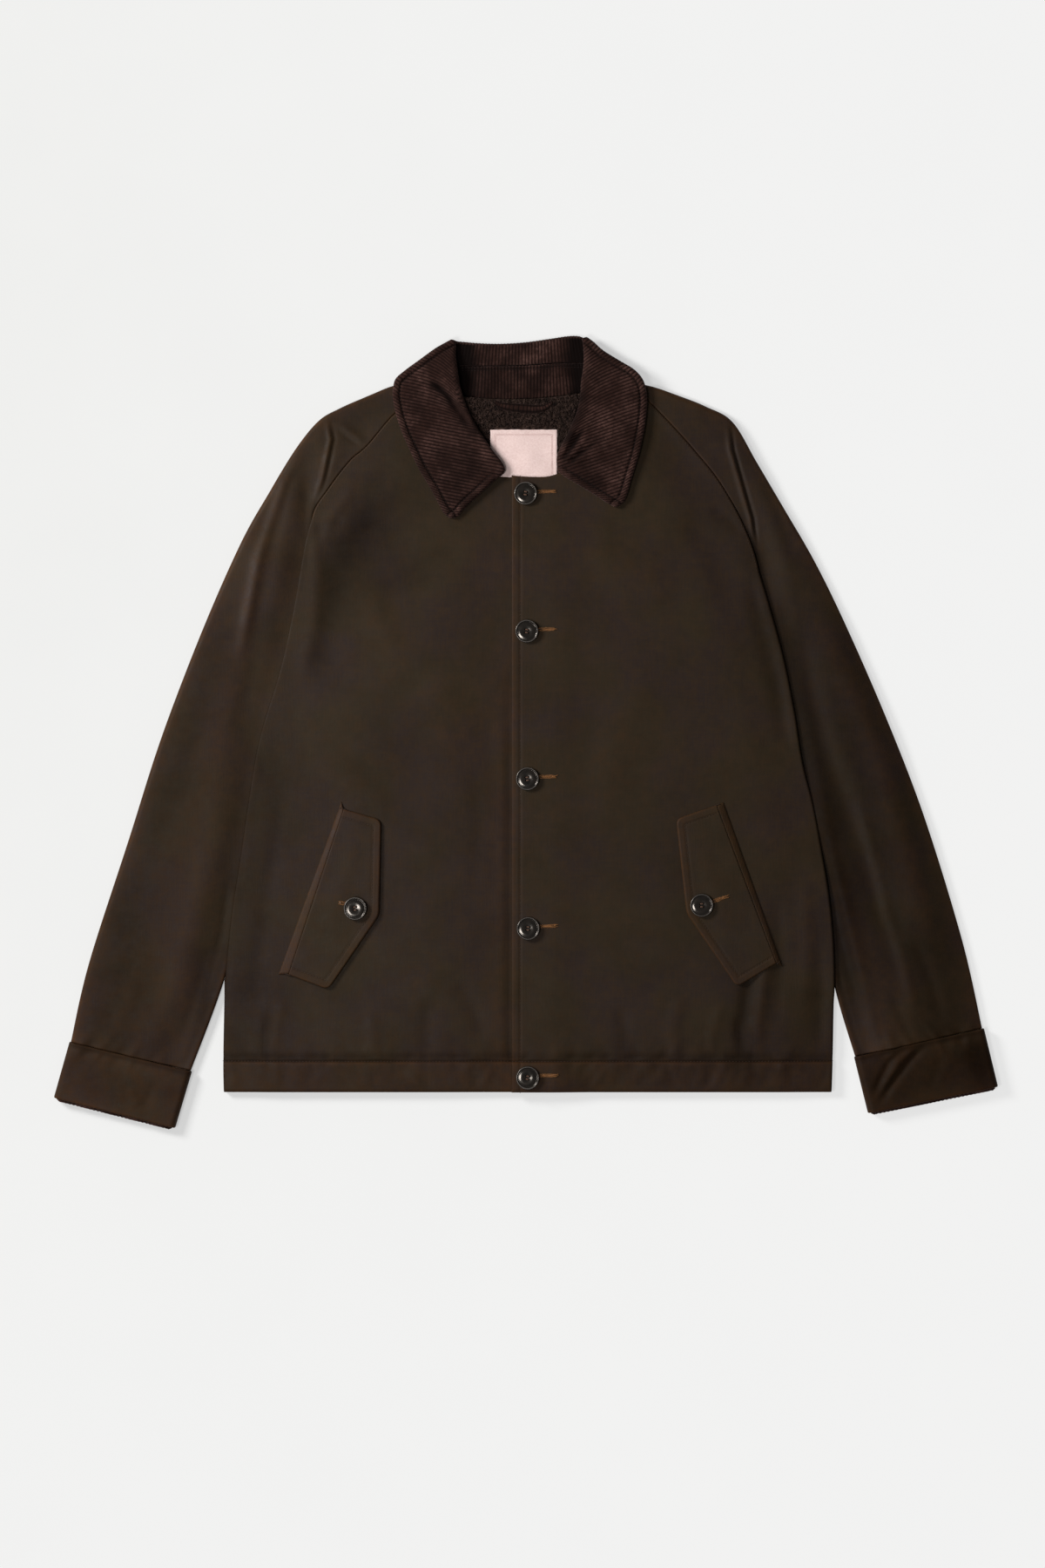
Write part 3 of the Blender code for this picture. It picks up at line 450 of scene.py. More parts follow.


# Creases, listed: path, half width, rise
sleeveCreases = {
    "right": (
        (((-191, 303), (-187, 280), (-196, 240), (-204, 212)), 2.6, 1.7),
        (((-187.5, 303), (-183.5, 281), (-191.5, 240), (-199.5, 214)), 2.0, -1.0),
        (((-184, 299), (-153, 276), (-124, 268)), 4.5, 1.2),
        (((-182, 292), (-153, 270), (-128, 262)), 2.6, -0.8),
        (((-208, 285), (-231, 240), (-244, 202), (-256, 165), (-265, 118), (-276, 60)), 5.5, 2.6),
        (((-218, 270), (-240, 214), (-256, 160)), 8.0, -1.4),
        (((-236, 190), (-252, 120), (-262, 60), (-283, -30)), 9.0, -0.8),
        (((-262, 118), (-292, 20), (-330, -90), (-350, -170)), 14.0, 0.7),
        (((-290, 60), (-322, -30), (-362, -130), (-392, -240)), 11.0, -0.5),
        (((-272, -30), (-300, -130), (-325, -230), (-352, -300)), 12.0, 0.6),
        (((-300, -200), (-318, -260), (-330, -300)), 6.0, -0.8),
        (((-360, -200), (-382, -262), (-400, -300)), 7.0, 0.6),
        (((-226, 120), (-258, 95), (-300, 92)), 8.0, -0.5),
        (((-284, -130), (-291, -190), (-306, -256), (-322, -304)), 3.0, -1.0),
    ),
    "left": (
        (((194, 303), (197, 271), (206, 240), (216, 206), (221, 166)), 2.6, 1.5),
        (((197.5, 303), (201, 271), (210, 240), (220, 206), (225, 166)), 1.9, -1.5),
        (((232, 250), (246, 205), (262, 160)), 8.0, -1.0),
        (((268, 170), (284, 126), (319, 38), (342, -17), (377, -148), (410, -255)), 17.0, 4.2),
        (((244, 150), (260, 96), (286, -10), (322, -110), (352, -200), (368, -276)), 12.0, -3.2),
        (((262, -20), (284, -90), (308, -170), (330, -262)), 9.0, 1.6),
        (((276, -90), (296, -160), (318, -240), (330, -286)), 5.0, -1.4),
        (((318, -60), (338, -130), (352, -190)), 5.0, 1.2),
        (((340, -150), (362, -215), (378, -280)), 6.0, 1.5),
        (((372, -190), (392, -245), (404, -288)), 6.0, -1.2),
        (((352, -250), (362, -275), (370, -295)), 5.0, -0.9),
        (((250, 130), (282, 128), (306, 118)), 7.0, -0.5),
    ),
}
bodyCreases = {
    "right": (
        (((-208, 204), (-199, 160), (-202, 104), (-216, 40)), 8.0, 1.2),
        (((-160, 240), (-186, 206), (-196, 176)), 6.0, 1.0),
        (((-186, 178), (-150, 130), (-120, 60)), 16.0, 1.0),
        (((-120, 268), (-150, 225), (-170, 180)), 12.0, -0.9),
        (((-60, 190), (-100, 150), (-150, 132)), 16.0, -1.0),
        (((-232, -40), (-244, -130), (-258, -220), (-262, -300)), 8.0, -0.9),
        (((-100, 60), (-70, 0), (-60, -90)), 24.0, 1.0), (((-190, -20), (-160, -60), (-120, -70)), 14.0, 0.8),
        (((-40, 40), (-30, -80), (-34, -200)), 9.0, -0.3),
        (((-232, -250), (-240, -290), (-246, -312)), 5.0, 0.8),
        (((-150, -262), (-146, -292), (-150, -316)), 6.0, 0.8),
        (((-90, -250), (-96, -290), (-92, -316)), 7.0, -0.7),
        (((-247, -262), (-249, -300), (-247, -334)), 4.0, -1.6),
        (((-206, 190), (-190, 196), (-172, 204)), 6.0, -0.9),
        (((-52, -20), (-44, -90), (-50, -160)), 7.0, -0.5),
        (((-70, -240), (-52, -262), (-40, -300)), 8.0, -0.9),
    ),
    "left": (
        (((214, 168), (222, 120), (240, 50), (254, -30)), 8.0, -1.3),
        (((150, 220), (180, 170), (200, 110)), 14.0, -0.9), (((60, 190), (100, 150), (150, 130)), 18.0, 0.8),
        (((120, 60), (90, 0), (70, -80)), 22.0, 0.9),
        (((206, -180), (214, -240), (208, -290), (212, -316)), 5.0, -1.9),
        (((222, -160), (232, -220), (224, -280), (226, -314)), 5.0, 1.9),
        (((240, -150), (246, -220), (240, -290)), 7.0, -1.1),
        (((268, -130), (272, -210), (266, -300)), 8.0, 1.0),
        (((150, -250), (142, -285), (146, -316)), 7.0, 0.9),
        (((90, -262), (96, -292), (90, -316)), 6.0, -0.9),
        (((190, -258), (180, -290), (178, -316)), 5.0, 0.8),
        (((280, -190), (284, -250), (282, -320)), 6.0, -0.8),
        (((203, -268), (207, -300), (206, -330)), 4.0, -1.2),
        (((212, 190), (196, 204), (176, 214)), 6.0, -0.8),
    ),
    "back": (
        (((-190, 170), (-150, 90), (-130, -20)), 16.0, 0.7), (((180, 150), (150, 60), (135, -60)), 16.0, 0.7),
        (((-60, 120), (-30, 0), (-36, -140)), 14.0, 0.6), (((40, -80), (56, -180), (48, -280)), 12.0, 0.6),
        (((-170, -120), (-184, -220), (-176, -300)), 10.0, 0.7),
        (((210, -100), (222, -200), (214, -300)), 10.0, 0.7),
    ),
}


# Painted shade: bands where the cloth is darkened for shade that falls there: path, half width, share
heavyWax = {
    "sleeveright": (
        (((-246, 226), (-286, 130), (-330, 30), (-372, -90), (-425, -250), (-436, -330)), 18.0, 0.08),
        (((-262, 40), (-276, -80), (-292, -180), (-306, -260), (-320, -360)), 15.0, 0.30),
        (((-352, -100), (-378, -210), (-392, -400)), 40.0, 0.32),
        (((-222, 190), (-240, 120), (-250, 60)), 16.0, 0.20),
        (((-272, 130), (-304, 30), (-336, -70), (-360, -180)), 24.0, 0.32),
        (((-392, -200), (-412, -270), (-424, -340)), 26.0, 0.12),
        (((-100, 336), (-140, 318), (-176, 296), (-186, 250)), 22.0, 0.16),
    ),
    "sleeveleft": (
        (((222, 196), (238, 100), (262, 0), (284, -80), (304, -170), (318, -330)), 19.0, 0.52),
        (((262, 160), (290, 80), (324, -20), (356, -120), (380, -240)), 32.0, 0.26),
        (((300, 90), (345, -10), (388, -120), (420, -250)), 18.0, 0.05),
        (((366, -160), (400, -260), (410, -380)), 32.0, 0.32),
    ),
    "frontright": (
        (((-118, 250), (-142, 216), (-172, 178), (-184, 148), (-192, 118), (-200, 76), (-212, 20)), 17, 0.34),
        (((-228, 60), (-240, -20), (-252, -110), (-262, -220), (-262, -370)), 34.0, 0.24),
        (((-120, 60), (-130, -20), (-150, -110)), 40.0, 0.14),
        (((-80, 330), (-104, 260), (-140, 205), (-176, 150), (-190, 90)), 42.0, 0.17),
    ),
    "frontleft": (
        (((196, 214), (214, 176), (232, 120), (244, 60), (252, 0)), 11.0, 0.15),
        (((208, -170), (212, -240), (214, -360)), 17.0, 0.22),
        (((150, -20), (166, -130), (176, -240)), 28.0, 0.08),
    ),
    "cuffright": ((((-300, -358), (-380, -340), (-476, -318)), 34.0, 0.30),),
    "cuffleft": (
        (((296, -346), (380, -330), (476, -308)), 34.0, 0.44),
        (((426, -290), (440, -318), (450, -360)), 20.0, 0.24),
    ),
}


# painted shade from the listed bands, at most 0.8
def heavyAt(part, x, y):
    return np.clip(creaseHeight(x, y, heavyWax[part]), 0, 0.8)


def ridgesOf(lift):  # how much of a crease is a rubbed ridge
    return np.clip(lift, 0, 2) * 0.11


# Sleeves: one piece each, folded along the outer side
sleeveCut = {
    "pitch": 3.9,
    "fine": (230.0, 1.9),
    "wall": 2.4,
    "seamDip": 1.4,
    "seamRound": 1.8,
    "dome": {"right": 1.0, "left": 1.6},
    "slope": {"right": -0.6, "left": 4.6},
    "rise": {"right": (16.0, 34.0), "left": (12.0, 15.0)},
    "waves": 0.35,
    "tuck": {"outer": (2.9, 8.5), "inner": (4.2, 7.2)},  # heights of the end inside the cuff
}
cuffSeamPuckers = {"right": puckerTable(14, 112, 9, 1.1, 31), "left": puckerTable(10, 114, 7, 1.5, 57)}
topShares = np.concatenate([(0, 0.004, 0.010, 0.018, 0.030, 0.045), np.linspace(0.065, 1, 40)])
foldTurns = np.radians(np.linspace(72, -90, 10))
underShares = np.linspace(0, 1, 22)[1:]


def tuckedIn(grid, low, high):  # two more rows at a sleeve's end: a step in, then on into the cuff
    last, before = grid[-1], grid[-9]
    middle = (last[:, :2].min(axis=0) + last[:, :2].max(axis=0)) / 2
    ahead = (last[:, :2] - before[:, :2]).mean(axis=0)
    ahead /= np.linalg.norm(ahead)
    inward = middle - last[:, :2]
    reach = np.linalg.norm(inward, axis=1, keepdims=True)
    plan = last[:, :2] + inward * np.minimum(2.9 / np.maximum(reach, 1), 0.9)
    up = (last[:, 2] - last[:, 2].min()) / np.ptp(last[:, 2])
    step = np.column_stack([plan, low + (high - low) * up])
    return np.concatenate([grid, [step, step + (*ahead * 3.2, 0)]])


def makeSleeve(side):
    ends = (6.5, 4.6, 3.2, 2.2, 1.4, 0.8, 0.3, 0)
    rows, runs = evenCurve(sleeveRows[side], sleeveCut["pitch"], ends, *sleeveCut["fine"])
    dome, slope, (under, climb) = (sleeveCut[word][side] for word in ("dome", "slope", "rise"))
    sx, sy, fx, fy, edge, crown = (rows[:, k : k + 1] for k in range(6))
    length = np.hypot(fx - sx, fy - sy)
    wx, wy = (fx - sx) / length, (fy - sy) / length
    low = overFall["rise"] * liftShare(fx, fy)
    radius = (blendTo(edge, crown, easeStep((length - 18) / 38)) - low) / 2
    radius -= slope / 2 * easeStep((length - 40) / 60)
    straight = length - radius
    run = topShares * straight
    x, y = sx + wx * run, sy + wy * run
    endRun = (runs[-1] - runs)[:, None]
    sewn = easeStep((edge - 6.8) / 1.0)
    lift = creaseHeight(x, y, sleeveCreases[side]) + softNoise(x, y, 70, 5) * sleeveCut["waves"]
    lift += puckerHeight(run, endRun, cuffSeamPuckers[side])
    lift *= easeStep((run - 2) / 14) * easeStep(runs[:, None] / 30)
    part = run / straight
    broad = easeStep((length - 40) / 60)
    underarm = bell(run - 6.5, 1.3) * easeStep((130 - endRun) / 60)
    lift += broad * (dome * np.sin(math.pi * part) - slope * part**2) - 0.7 * underarm
    dip = blendTo(1.4, sleeveCut["seamDip"], sewn) * edgeDrop(run, sleeveCut["seamRound"])
    climb = blendTo(38, climb, easeStep((length - 70) / 60))
    high = blendTo(edge, crown, easeStep((run - under) / climb)) + lift - dip
    shown = edgeDrop(endRun, 1.5) * 1.1
    high -= shown
    over, out = 1 + np.sin(foldTurns), np.cos(foldTurns)
    far = (lift[:, -1:] + broad * slope) * over / 2
    ax, ay = sx + wx * (straight + radius * out), sy + wy * (straight + radius * out)
    az = low + radius + radius * np.sin(foldTurns) + far - shown * over / 2
    back = straight * (1 - underShares)
    ux, uy = sx + wx * back, sy + wy * back
    hollow = np.clip(creaseHeight(ux, uy, sleeveCreases[side]) * 0.35, 0, 0.7)
    uz = overFall["rise"] * liftShare(ux, uy) + hollow * easeStep((underShares[-1] - underShares) * 9)
    outer = [stacked(x, y, high), stacked(ax, ay, az), stacked(ux, uy, uz)]
    wall = sleeveCut["wall"]
    inRadius = radius - wall
    bx, by = sx + wx * (straight + inRadius * out), sy + wy * (straight + inRadius * out)
    bz = low + radius + inRadius * np.sin(foldTurns)
    inner = [stacked(x, y, high - wall), stacked(bx, by, bz), stacked(ux, uy, uz + wall)]
    grids = ((outer, *sleeveCut["tuck"]["outer"]), (inner, *sleeveCut["tuck"]["inner"]))
    outer, inner = (tuckedIn(np.concatenate(parts, axis=1), *ends) for parts, *ends in grids)
    seamWear = 0.3 * bell(run, 2.0) * sewn + 0.6 * bell(run, 3) * (1 - sewn) * easeStep((180 - endRun) / 80)
    endWear = 0.25 * bell(endRun, 3) + 0.14 * bell(endRun, 90)
    topWear = seamWear + endWear + ridgesOf(lift) + 0.22 * bell(straight - run, 6)
    foldWear = 0.3 + endWear + 0.6 * out + 0 * ax
    underWear = 0.3 * bell(back, 4) + 0.12 * bell(straight - back, 6) + endWear
    wear = np.clip(np.concatenate([topWear, foldWear, underWear], axis=1), 0, 1)
    wear = np.concatenate([wear, 0 * wear[-2:]])
    # Painted shade on the sleeve: the listed bands, and a painted shadow of the body's fold beside the seam
    heavy = heavyAt(f"sleeve{side}", outer[..., 0], outer[..., 1])
    nearBody = 0.45 * bell(run, 5) * (1 - sewn) * easeStep((endRun - 60) / 60)
    heavy[:-2, : run.shape[1]] = np.maximum(heavy[:-2, : run.shape[1]], nearBody)
    thing = slab(f"sleevePanel.{side}", outer, inner, waxCloth, wear=wear, heavy=heavy)
    settle(thing, "shell", f"sleeve_{side}")


for side in bothSides:
    makeSleeve(side)
print("sleeves made")


# Front panels, the left one lapping over the right
frontCut = {
    "pitch": 3.1,
    "fold": 2.2,
    "seamDip": 1.3,
    "hemDepth": 30.0,
    "hemGroove": 0.8,
    "stitchIn": 8.3,
    "lap": {"right": (4.6, 40, 80), "left": (8.9, 36, 45)},  # height there, where it ends, how softly
    "lapDip": 38.8,  # where the under front dips beside the lap
    "waves": (0.45, 0.16),
}
hemPuckers = {
    "right": puckerTable(6, 250, 12, 1.05, 12),
    "left": puckerTable(30, 300, 10, 1.2, 21),
}
hemFolds = {"right": puckerTable(10, 290, 17, 0.9, 44), "left": puckerTable(8, 290, 14, 1.0, 46)}
edgeRuns = np.array([0, 0.3, 0.7, 1.2, 1.8, 2.6, 3.6, 4.8, 6.4, 8.6, 11.4])
farRuns = (57, 53.5, 50, 46.5, 43, 39.5, 36, 32, 28, 24, 20, 16.5, 13.5)
centreRuns = np.array([*farRuns, 11.4, 10.1, 9.2, 8.3, 7.4, 6.4, 5.2, 4, 2.9, 2, 1.2, 0.6, 0.2, 0])


def frontGrid(side):
    under = side == "right"
    places = np.linspace(0, joinRow[side], joinRow[side] * 24 + 1)
    seam = curveAt(sleeveRows[side], places)[:, :2] + ((0.3 if under else -0.3), 0)
    seam = np.column_stack([seam, curveAt(np.array(seamRest)[:, None], places), np.ones(len(seam))])
    free = curveAt(sideRows[side], np.linspace(0, len(sideRows[side]) - 1, 240))[2:]
    line = np.concatenate([seam, np.column_stack([free, np.zeros(len(free))])])
    run = runAlong(line[:, :2])
    last = run[-1]
    goals = np.concatenate(
        [
            (0, 0.4, 1.0, 1.8, 3.0),
            np.linspace(5, last - 46, int(last / frontCut["pitch"])),
            last - np.array([43.5, 41, 38.8, 37, 35.4, 34, 32.9, 32, 31.3, 30.7, 30, 29.3, 28.6, 27.6, 26]),
            last - np.linspace(23.5, 6, 8),
            last - np.array([4.4, 3.2, 2.2, 1.4, 0.7, 0.25, 0]),
        ]
    )
    line = np.stack([np.interp(goals, run, line[:, k]) for k in range(4)], axis=1)
    sx, sy, rest, sewn = (line[:, k : k + 1] for k in range(4))
    neck = curveAt(neckLine[side], np.linspace(0, len(neckLine[side]) - 1, 160))[::-1]
    arc = runAlong(neck)
    cx, topY, neckY = neckLine[side][0][0], sy[0, 0], neckLine[side][0][1]
    down = (topY - sy) / (topY - hemY)
    ex, ey = cx, blendTo(blendTo(neckY, hemY, down), sy, easeStep((hemY + 150 - sy) / 90))
    length = np.hypot(ex - sx, ey - sy)
    slant = length / np.abs(ex - sx)
    first, lastRun = edgeRuns[-1] + 3, length - 60.5 * slant
    spread = first + (lastRun - first) * np.linspace(0, 1, 62)
    runs = np.concatenate([edgeRuns + 0 * length, spread, length - centreRuns * slant], axis=1)
    share = runs / length
    x, y = sx + (ex - sx) * share, sy + (ey - sy) * share
    sag = np.clip(1 - down / 0.14, 0, 1) ** 2
    topX, way = sx[0, 0] + (cx - sx[0, 0]) * share, 1 if under else -1
    level = np.interp(topX * way, np.maximum.accumulate(neck[:, 0] * way), arc)
    even = np.interp((sx[0, 0] + (cx - sx[0, 0]) * 0.45) * way, neck[:, 0] * way, arc) / 0.45 * share
    level = blendTo(even, level, easeStep((share - 0.25) / 0.25))
    x = x + sag * (np.interp(level, arc, neck[:, 0]) - topX)
    y = y + sag * (np.interp(level, arc, neck[:, 1]) - (topY + (neckY - topY) * share))
    return x, y, runs, (length - runs) / slant, rest, sewn


def makeFront(side):
    under = side == "right"
    x, y, run, fromCentre, rest, sewn = frontGrid(side)
    middle = blendTo(7.8, 5.8, easeStep((hemY + 45 - y) / 45))
    lap, start, reach = frontCut["lap"][side]
    middle = blendTo(lap, middle, easeStep((fromCentre - start) / reach))
    low = blendTo(rest, middle, easeStep((run - 14) / 40))
    hem = y - hemY
    topLine = np.stack([x[0], y[0]], axis=1)[::4]
    fromNeck, _ = pathDistance(x, y, topLine)
    fromSeam = np.where(y > 120, pathDistance(x, y, np.stack([x[::2, 0], y[::2, 0]], axis=1))[0], run)
    big, small = frontCut["waves"]
    lift = creaseHeight(x, y, bodyCreases[side])
    lift += softNoise(x, y, 150, 3 + under) * big + softNoise(x, y, 55, 8 + under) * small
    lift += puckerHeight(np.abs(x - x[:, :1]), hem - frontCut["hemDepth"], hemPuckers[side])
    lift += puckerHeight(np.abs(x - x[:, :1]), hem - 13, hemFolds[side]) * easeStep((30 - hem) / 8)
    calm = easeStep((fromSeam - 1) / 10) * easeStep((hem - 1) / 8) * easeStep((fromCentre - 1) / 10)
    lift = lift * calm * easeStep((fromNeck - 2) / 20)
    besideLap = bell(fromCentre - frontCut["lapDip"], 4.0) * easeStep((hem - 22) / 16) * under
    besideLap = besideLap * blendTo(0.15, 1, easeStep((70 - y) / 100))
    lift -= 0.9 * besideLap
    depth = hem - frontCut["hemDepth"]
    lift = lift * (1 - 0.85 * bell(depth, 2)) - frontCut["hemGroove"] * bell(depth, 1.3)
    lift = lift - 0.9 * bell(depth - 3.5, 4.0)
    lift += 0.35 * easeStep(-depth / 2) * easeStep(hem / 3)
    if not under:
        lift -= 0.35 * bell(fromCentre - frontCut["stitchIn"], 1.0) - 0.1 * easeStep((8 - fromCentre) / 2)
    thick = bodyWall - frontCut["seamDip"] * edgeDrop(fromSeam, 1.8) * sewn
    thick = thick - 1.8 * edgeDrop(run, frontCut["fold"]) * (1 - sewn)
    thick = thick - 1.8 * edgeDrop(fromCentre, 1.3) - 1.6 * edgeDrop(fromNeck, 2.2)
    thick = np.maximum(thick - 2.2 * edgeDrop(hem, 3.4), 0.8)
    high = low + thick + lift
    folded = 1 - sewn  # from here on: where it is rubbed, and where shade is painted
    wear = 0.25 * bell(fromSeam, 2.0) * sewn + 0.12 * bell(run, 2) * folded
    lapEdge = 0.42 * bell(fromCentre - 2, 2.2) * (not under)
    wear = wear + 0.45 * bell(hem, 2.0) + lapEdge + 0.14 * bell(hem, 48)
    placket = 0.15 * bell(fromCentre - frontCut["stitchIn"], 1.6) * (not under)
    wear += 0.42 * bell(depth + 1.2, 1.5) + 0.3 * bell(fromNeck, 2) + placket
    rubbed = 0.40 * bell(fromCentre - 26, 26) * easeStep((110 - y) / 90) * under
    wear += ridgesOf(lift) * 0.7 + 0.10 * easeStep(-depth / 3) + rubbed
    # Painted shade: the listed bands, along the body's fold, above the hem stitch and in its groove, in
    # crease troughs, at the centre edge and beside the lap; also a little darker towards the hem
    heavy = heavyAt(f"front{side}", x, y) + 0.4 * bell(run, 1.6) * folded
    heavy = heavy + 0.10 * bell(depth - 3.5, 3.5) + 0.10 * bell(hem, 48)
    heavy += 0.15 * np.clip(-lift, 0, 1.6) / 1.6 + 0.35 * bell(depth, 0.8) + 0.3 * bell(fromCentre, 0.7)
    heavy = np.clip(heavy + 0.2 * besideLap, 0, 0.8)
    wear = np.clip(wear * (1 - 0.5 * besideLap), 0, 1)
    place = (f"frontPanel.{side}", "shell", f"front_{side}", x, y)
    return layFlat(*place, high, low, waxCloth, wear=wear, heavy=heavy)


fronts = {side: makeFront(side) for side in bothSides}
print("fronts made")


# Back panel, flat on the surface
backHemRows = (75, 66, 57, 48, 40, 34, 31.5, 30, 28.5, 25, 18, 11, 5, 2.4, 0.9, 0)


def makeBack():
    places = np.linspace(0, 12, 116)
    sides = []
    for side, way in (("right", 0.3), ("left", -0.3)):
        seam = curveAt(sleeveRows[side], places)[:, :2] + (way, 0)
        foot = sideRows[side][-1][0] + way
        sides.append(np.concatenate([seam, [(foot, hemY + up) for up in backHemRows]]))
    right, left = sides
    share = np.concatenate([(0, 0.003, 0.008, 0.016), np.linspace(0.03, 0.97, 74), (0.984, 0.992, 0.997, 1)])
    x, straight = (blendTo(right[:, k : k + 1], left[:, k : k + 1], share) for k in (0, 1))
    level = np.concatenate([places, np.full(len(backHemRows), places[-1])])[:, None]
    sag = np.clip(1 - level / 4, 0, 1) ** 2
    neckX, neckY = (blendTo(right[0, k], left[0, k], share) for k in (0, 1))
    y = straight + sag * (backNeck(neckX) - neckY)
    lifted = liftShare(x, y)
    away = np.minimum(share, 1 - share) * (left[:, :1] - right[:, :1])
    hem = y - hemY
    hollow = np.clip(creaseHeight(x, y, bodyCreases["back"]), 0, 1.0) * easeStep((away - 3) / 20)
    hollow += 0.5 * bell(hem - 30, 1.4) + 0.9 * edgeDrop(away, 2) + 0.9 * edgeDrop(hem, 2.4)
    low = overFall["rise"] * lifted + hollow
    high = overFall["rise"] * lifted + blendTo(bodyWall, overFall["wall"], lifted)
    high = high - 0.8 * edgeDrop(hem, 2.4) - 0.5 * edgeDrop(away, 2)
    wear = np.clip(0.5 * bell(away, 3) + 0.7 * bell(hem, 3) + 0.3 * bell(hem - 30, 2), 0, 1)
    layFlat("backPanel", "shell", "back", x, y, low, high, waxCloth, wear=wear)


makeBack()
print("back made")


# Cuffs and the corduroy facings inside them
cuffRows = {  # inner end, outer end at the seam and at the opening
    "right": ((-320.6, -326.9), (-438.6, -298.3), (-336.8, -381.4), (-453.7, -352.0)),
    "left": ((316.6, -312.9), (441.8, -285.4), (330.0, -367.1), (455.3, -341.4)),
}
cuffCreases = {
    "right": (
        (((-352, -332), (-362, -352), (-368, -366)), 5.0, -0.7), (((-380, -340), (-372, -362)), 4.0, 0.5),
        (((-420, -312), (-410, -340)), 7.0, -0.5),
    ),
    "left": (
        (((388, -300), (372, -314), (352, -340), (338, -362)), 3.4, -2.6),
        (((380, -298), (360, -316), (342, -346)), 3.0, 1.4),
        (((362, -306), (350, -318), (340, -338), (334, -352)), 3.0, -2.2),
        (((402, -306), (396, -326), (388, -345)), 5.0, -0.6), (((420, -298), (428, -330)), 6.0, 0.5),
    ),
}
cuffLook = {"top": 11.3, "wall": 2.4, "facingWall": 1.8, "peep": 1.7, "waleGap": 4.2}


def ringGrid(near, far, low, high):
    # Rings of points round a flattened tube: out over the top, round the fold and back beneath
    way = (far - near) / np.linalg.norm(far - near, axis=1, keepdims=True)
    radius = (high - low) / 2
    share = np.linspace(0, 1, 58)
    turn = np.radians(np.linspace(75, -75, 9))
    a, b = near + way * radius, far - way * radius
    top = a[:, None] + (b - a)[:, None] * share[None, :, None]
    under = top[:, ::-1]
    outFold = b[:, None] + way[:, None] * (radius[:, None] * np.cos(turn)[None, :, None])
    inFold = a[:, None] - way[:, None] * (radius[:, None] * np.cos(turn)[None, :, None])
    plan = np.concatenate([top, outFold, under, inFold], axis=1)
    flat = 0 * plan[:, :58, 0]
    up = np.concatenate([flat + 1, flat[:, :9] + np.sin(turn), flat - 1, flat[:, :9] - np.sin(turn)], axis=1)
    return plan, low + radius + radius * up, up


def makeCuff(side):
    a, b, c, d = (np.array(p) for p in cuffRows[side])
    deep = np.linalg.norm(c - a)
    first, last = (0, 0.3, 0.8, 1.5, 2.4, 3.6), deep - np.array([2.8, 1.8, 1, 0.4, 0])
    runs = np.concatenate([first, np.linspace(5, deep - 4, 26), last])
    share = (runs / deep)[:, None]
    across = (b - a) / np.linalg.norm(b - a)
    near, far = a + (c - a) * share, b + (d - b) * share
    fromEnd = np.minimum(runs, deep - runs)[:, None]
    tuck = 0.7 * edgeDrop(fromEnd, 1.6)
    low = 0 * share
    plan, z, up = ringGrid(near + across * tuck, far - across * tuck, low, low + cuffLook["top"])
    x, y = plan[..., 0], plan[..., 1]
    along = (x - a[0]) * across[0] + (y - a[1]) * across[1]
    lift = creaseHeight(x, y, cuffCreases[side]) + softNoise(x, y, 40, 9) * 0.3
    lift += puckerHeight(along, -runs[:, None], cuffSeamPuckers[side]) * 0.8
    lift *= easeStep(fromEnd / 7) * easeStep(up)
    groove = 1.1 * edgeDrop(runs[:, None], 1.5) + 0.9 * edgeDrop(deep - runs[:, None], 2.0)
    wear = 0.40 + 0.2 * bell(runs[:, None], 3) + 0.55 * bell(deep - runs[:, None], 2.2)
    wear = wear + 0.3 * (1 - np.abs(up)) + ridgesOf(lift)
    outer = stacked(x, y, z + lift - groove * easeStep(up))
    wall = cuffLook["wall"]
    plan, z, _ = ringGrid(near + across * wall, far - across * wall, low + wall, low + cuffLook["top"] - wall)
    inner = stacked(plan[..., 0], plan[..., 1], z + lift)
    # Painted shade: the listed bands, and beside the seam to the sleeve
    heavy = heavyAt(f"cuff{side}", x, y) + 0.3 * bell(runs[:, None] - 2, 3)
    wear, heavy = np.clip(wear, 0, 1), np.clip(heavy, 0, 0.8)
    thing = slab(f"cuffBand.{side}", outer, inner, waxCloth, ringed=True, wear=wear, heavy=heavy)
    settle(thing, "shell", f"cuff_{side}")
    down = ((c - a) + (d - b)) / np.linalg.norm((c - a) + (d - b))
    runs = np.concatenate([np.linspace(-40, -1, 20), np.linspace(0, cuffLook["peep"], 7)])[:, None]
    faces = []
    for extra in (0.0, cuffLook["facingWall"]):
        inset = across * (3.0 + extra + 2.2 * easeStep(runs / cuffLook["peep"]))
        ends = (c + down * runs + inset, d + down * runs - inset)
        faces.append(ringGrid(*ends, 3.3 + extra + 0 * runs, 8.0 - extra + 0 * runs))
    (plan, z, up), (inPlan, inZ, _) = faces
    steps = np.linalg.norm(np.diff(plan, axis=1, append=plan[:, :1]), axis=2)
    phase = np.cumsum(steps + 0.5 * np.abs(np.diff(z, axis=1, append=z[:, :1])), axis=1)
    phase *= round(phase[0, -1] / cuffLook["waleGap"]) / phase[:, -1:]
    wale = np.sqrt(np.abs(np.sin(math.pi * phase)))
    tip = easeStep((cuffLook["peep"] - runs) / 1.2)
    push = wale[..., None] * down
    outer = stacked(*np.moveaxis(plan + push, -1, 0), z + up * (0.45 * wale - 0.5 * (1 - tip)))
    inner = stacked(*np.moveaxis(inPlan + push, -1, 0), inZ)
    thing = slab(f"cuffFacing.{side}", outer, inner, corduroy, ringed=True, wale=wale)
    settle(thing, "corduroy", f"cuff_facing_{side}")


for side in bothSides:
    makeCuff(side)
print("cuffs made")


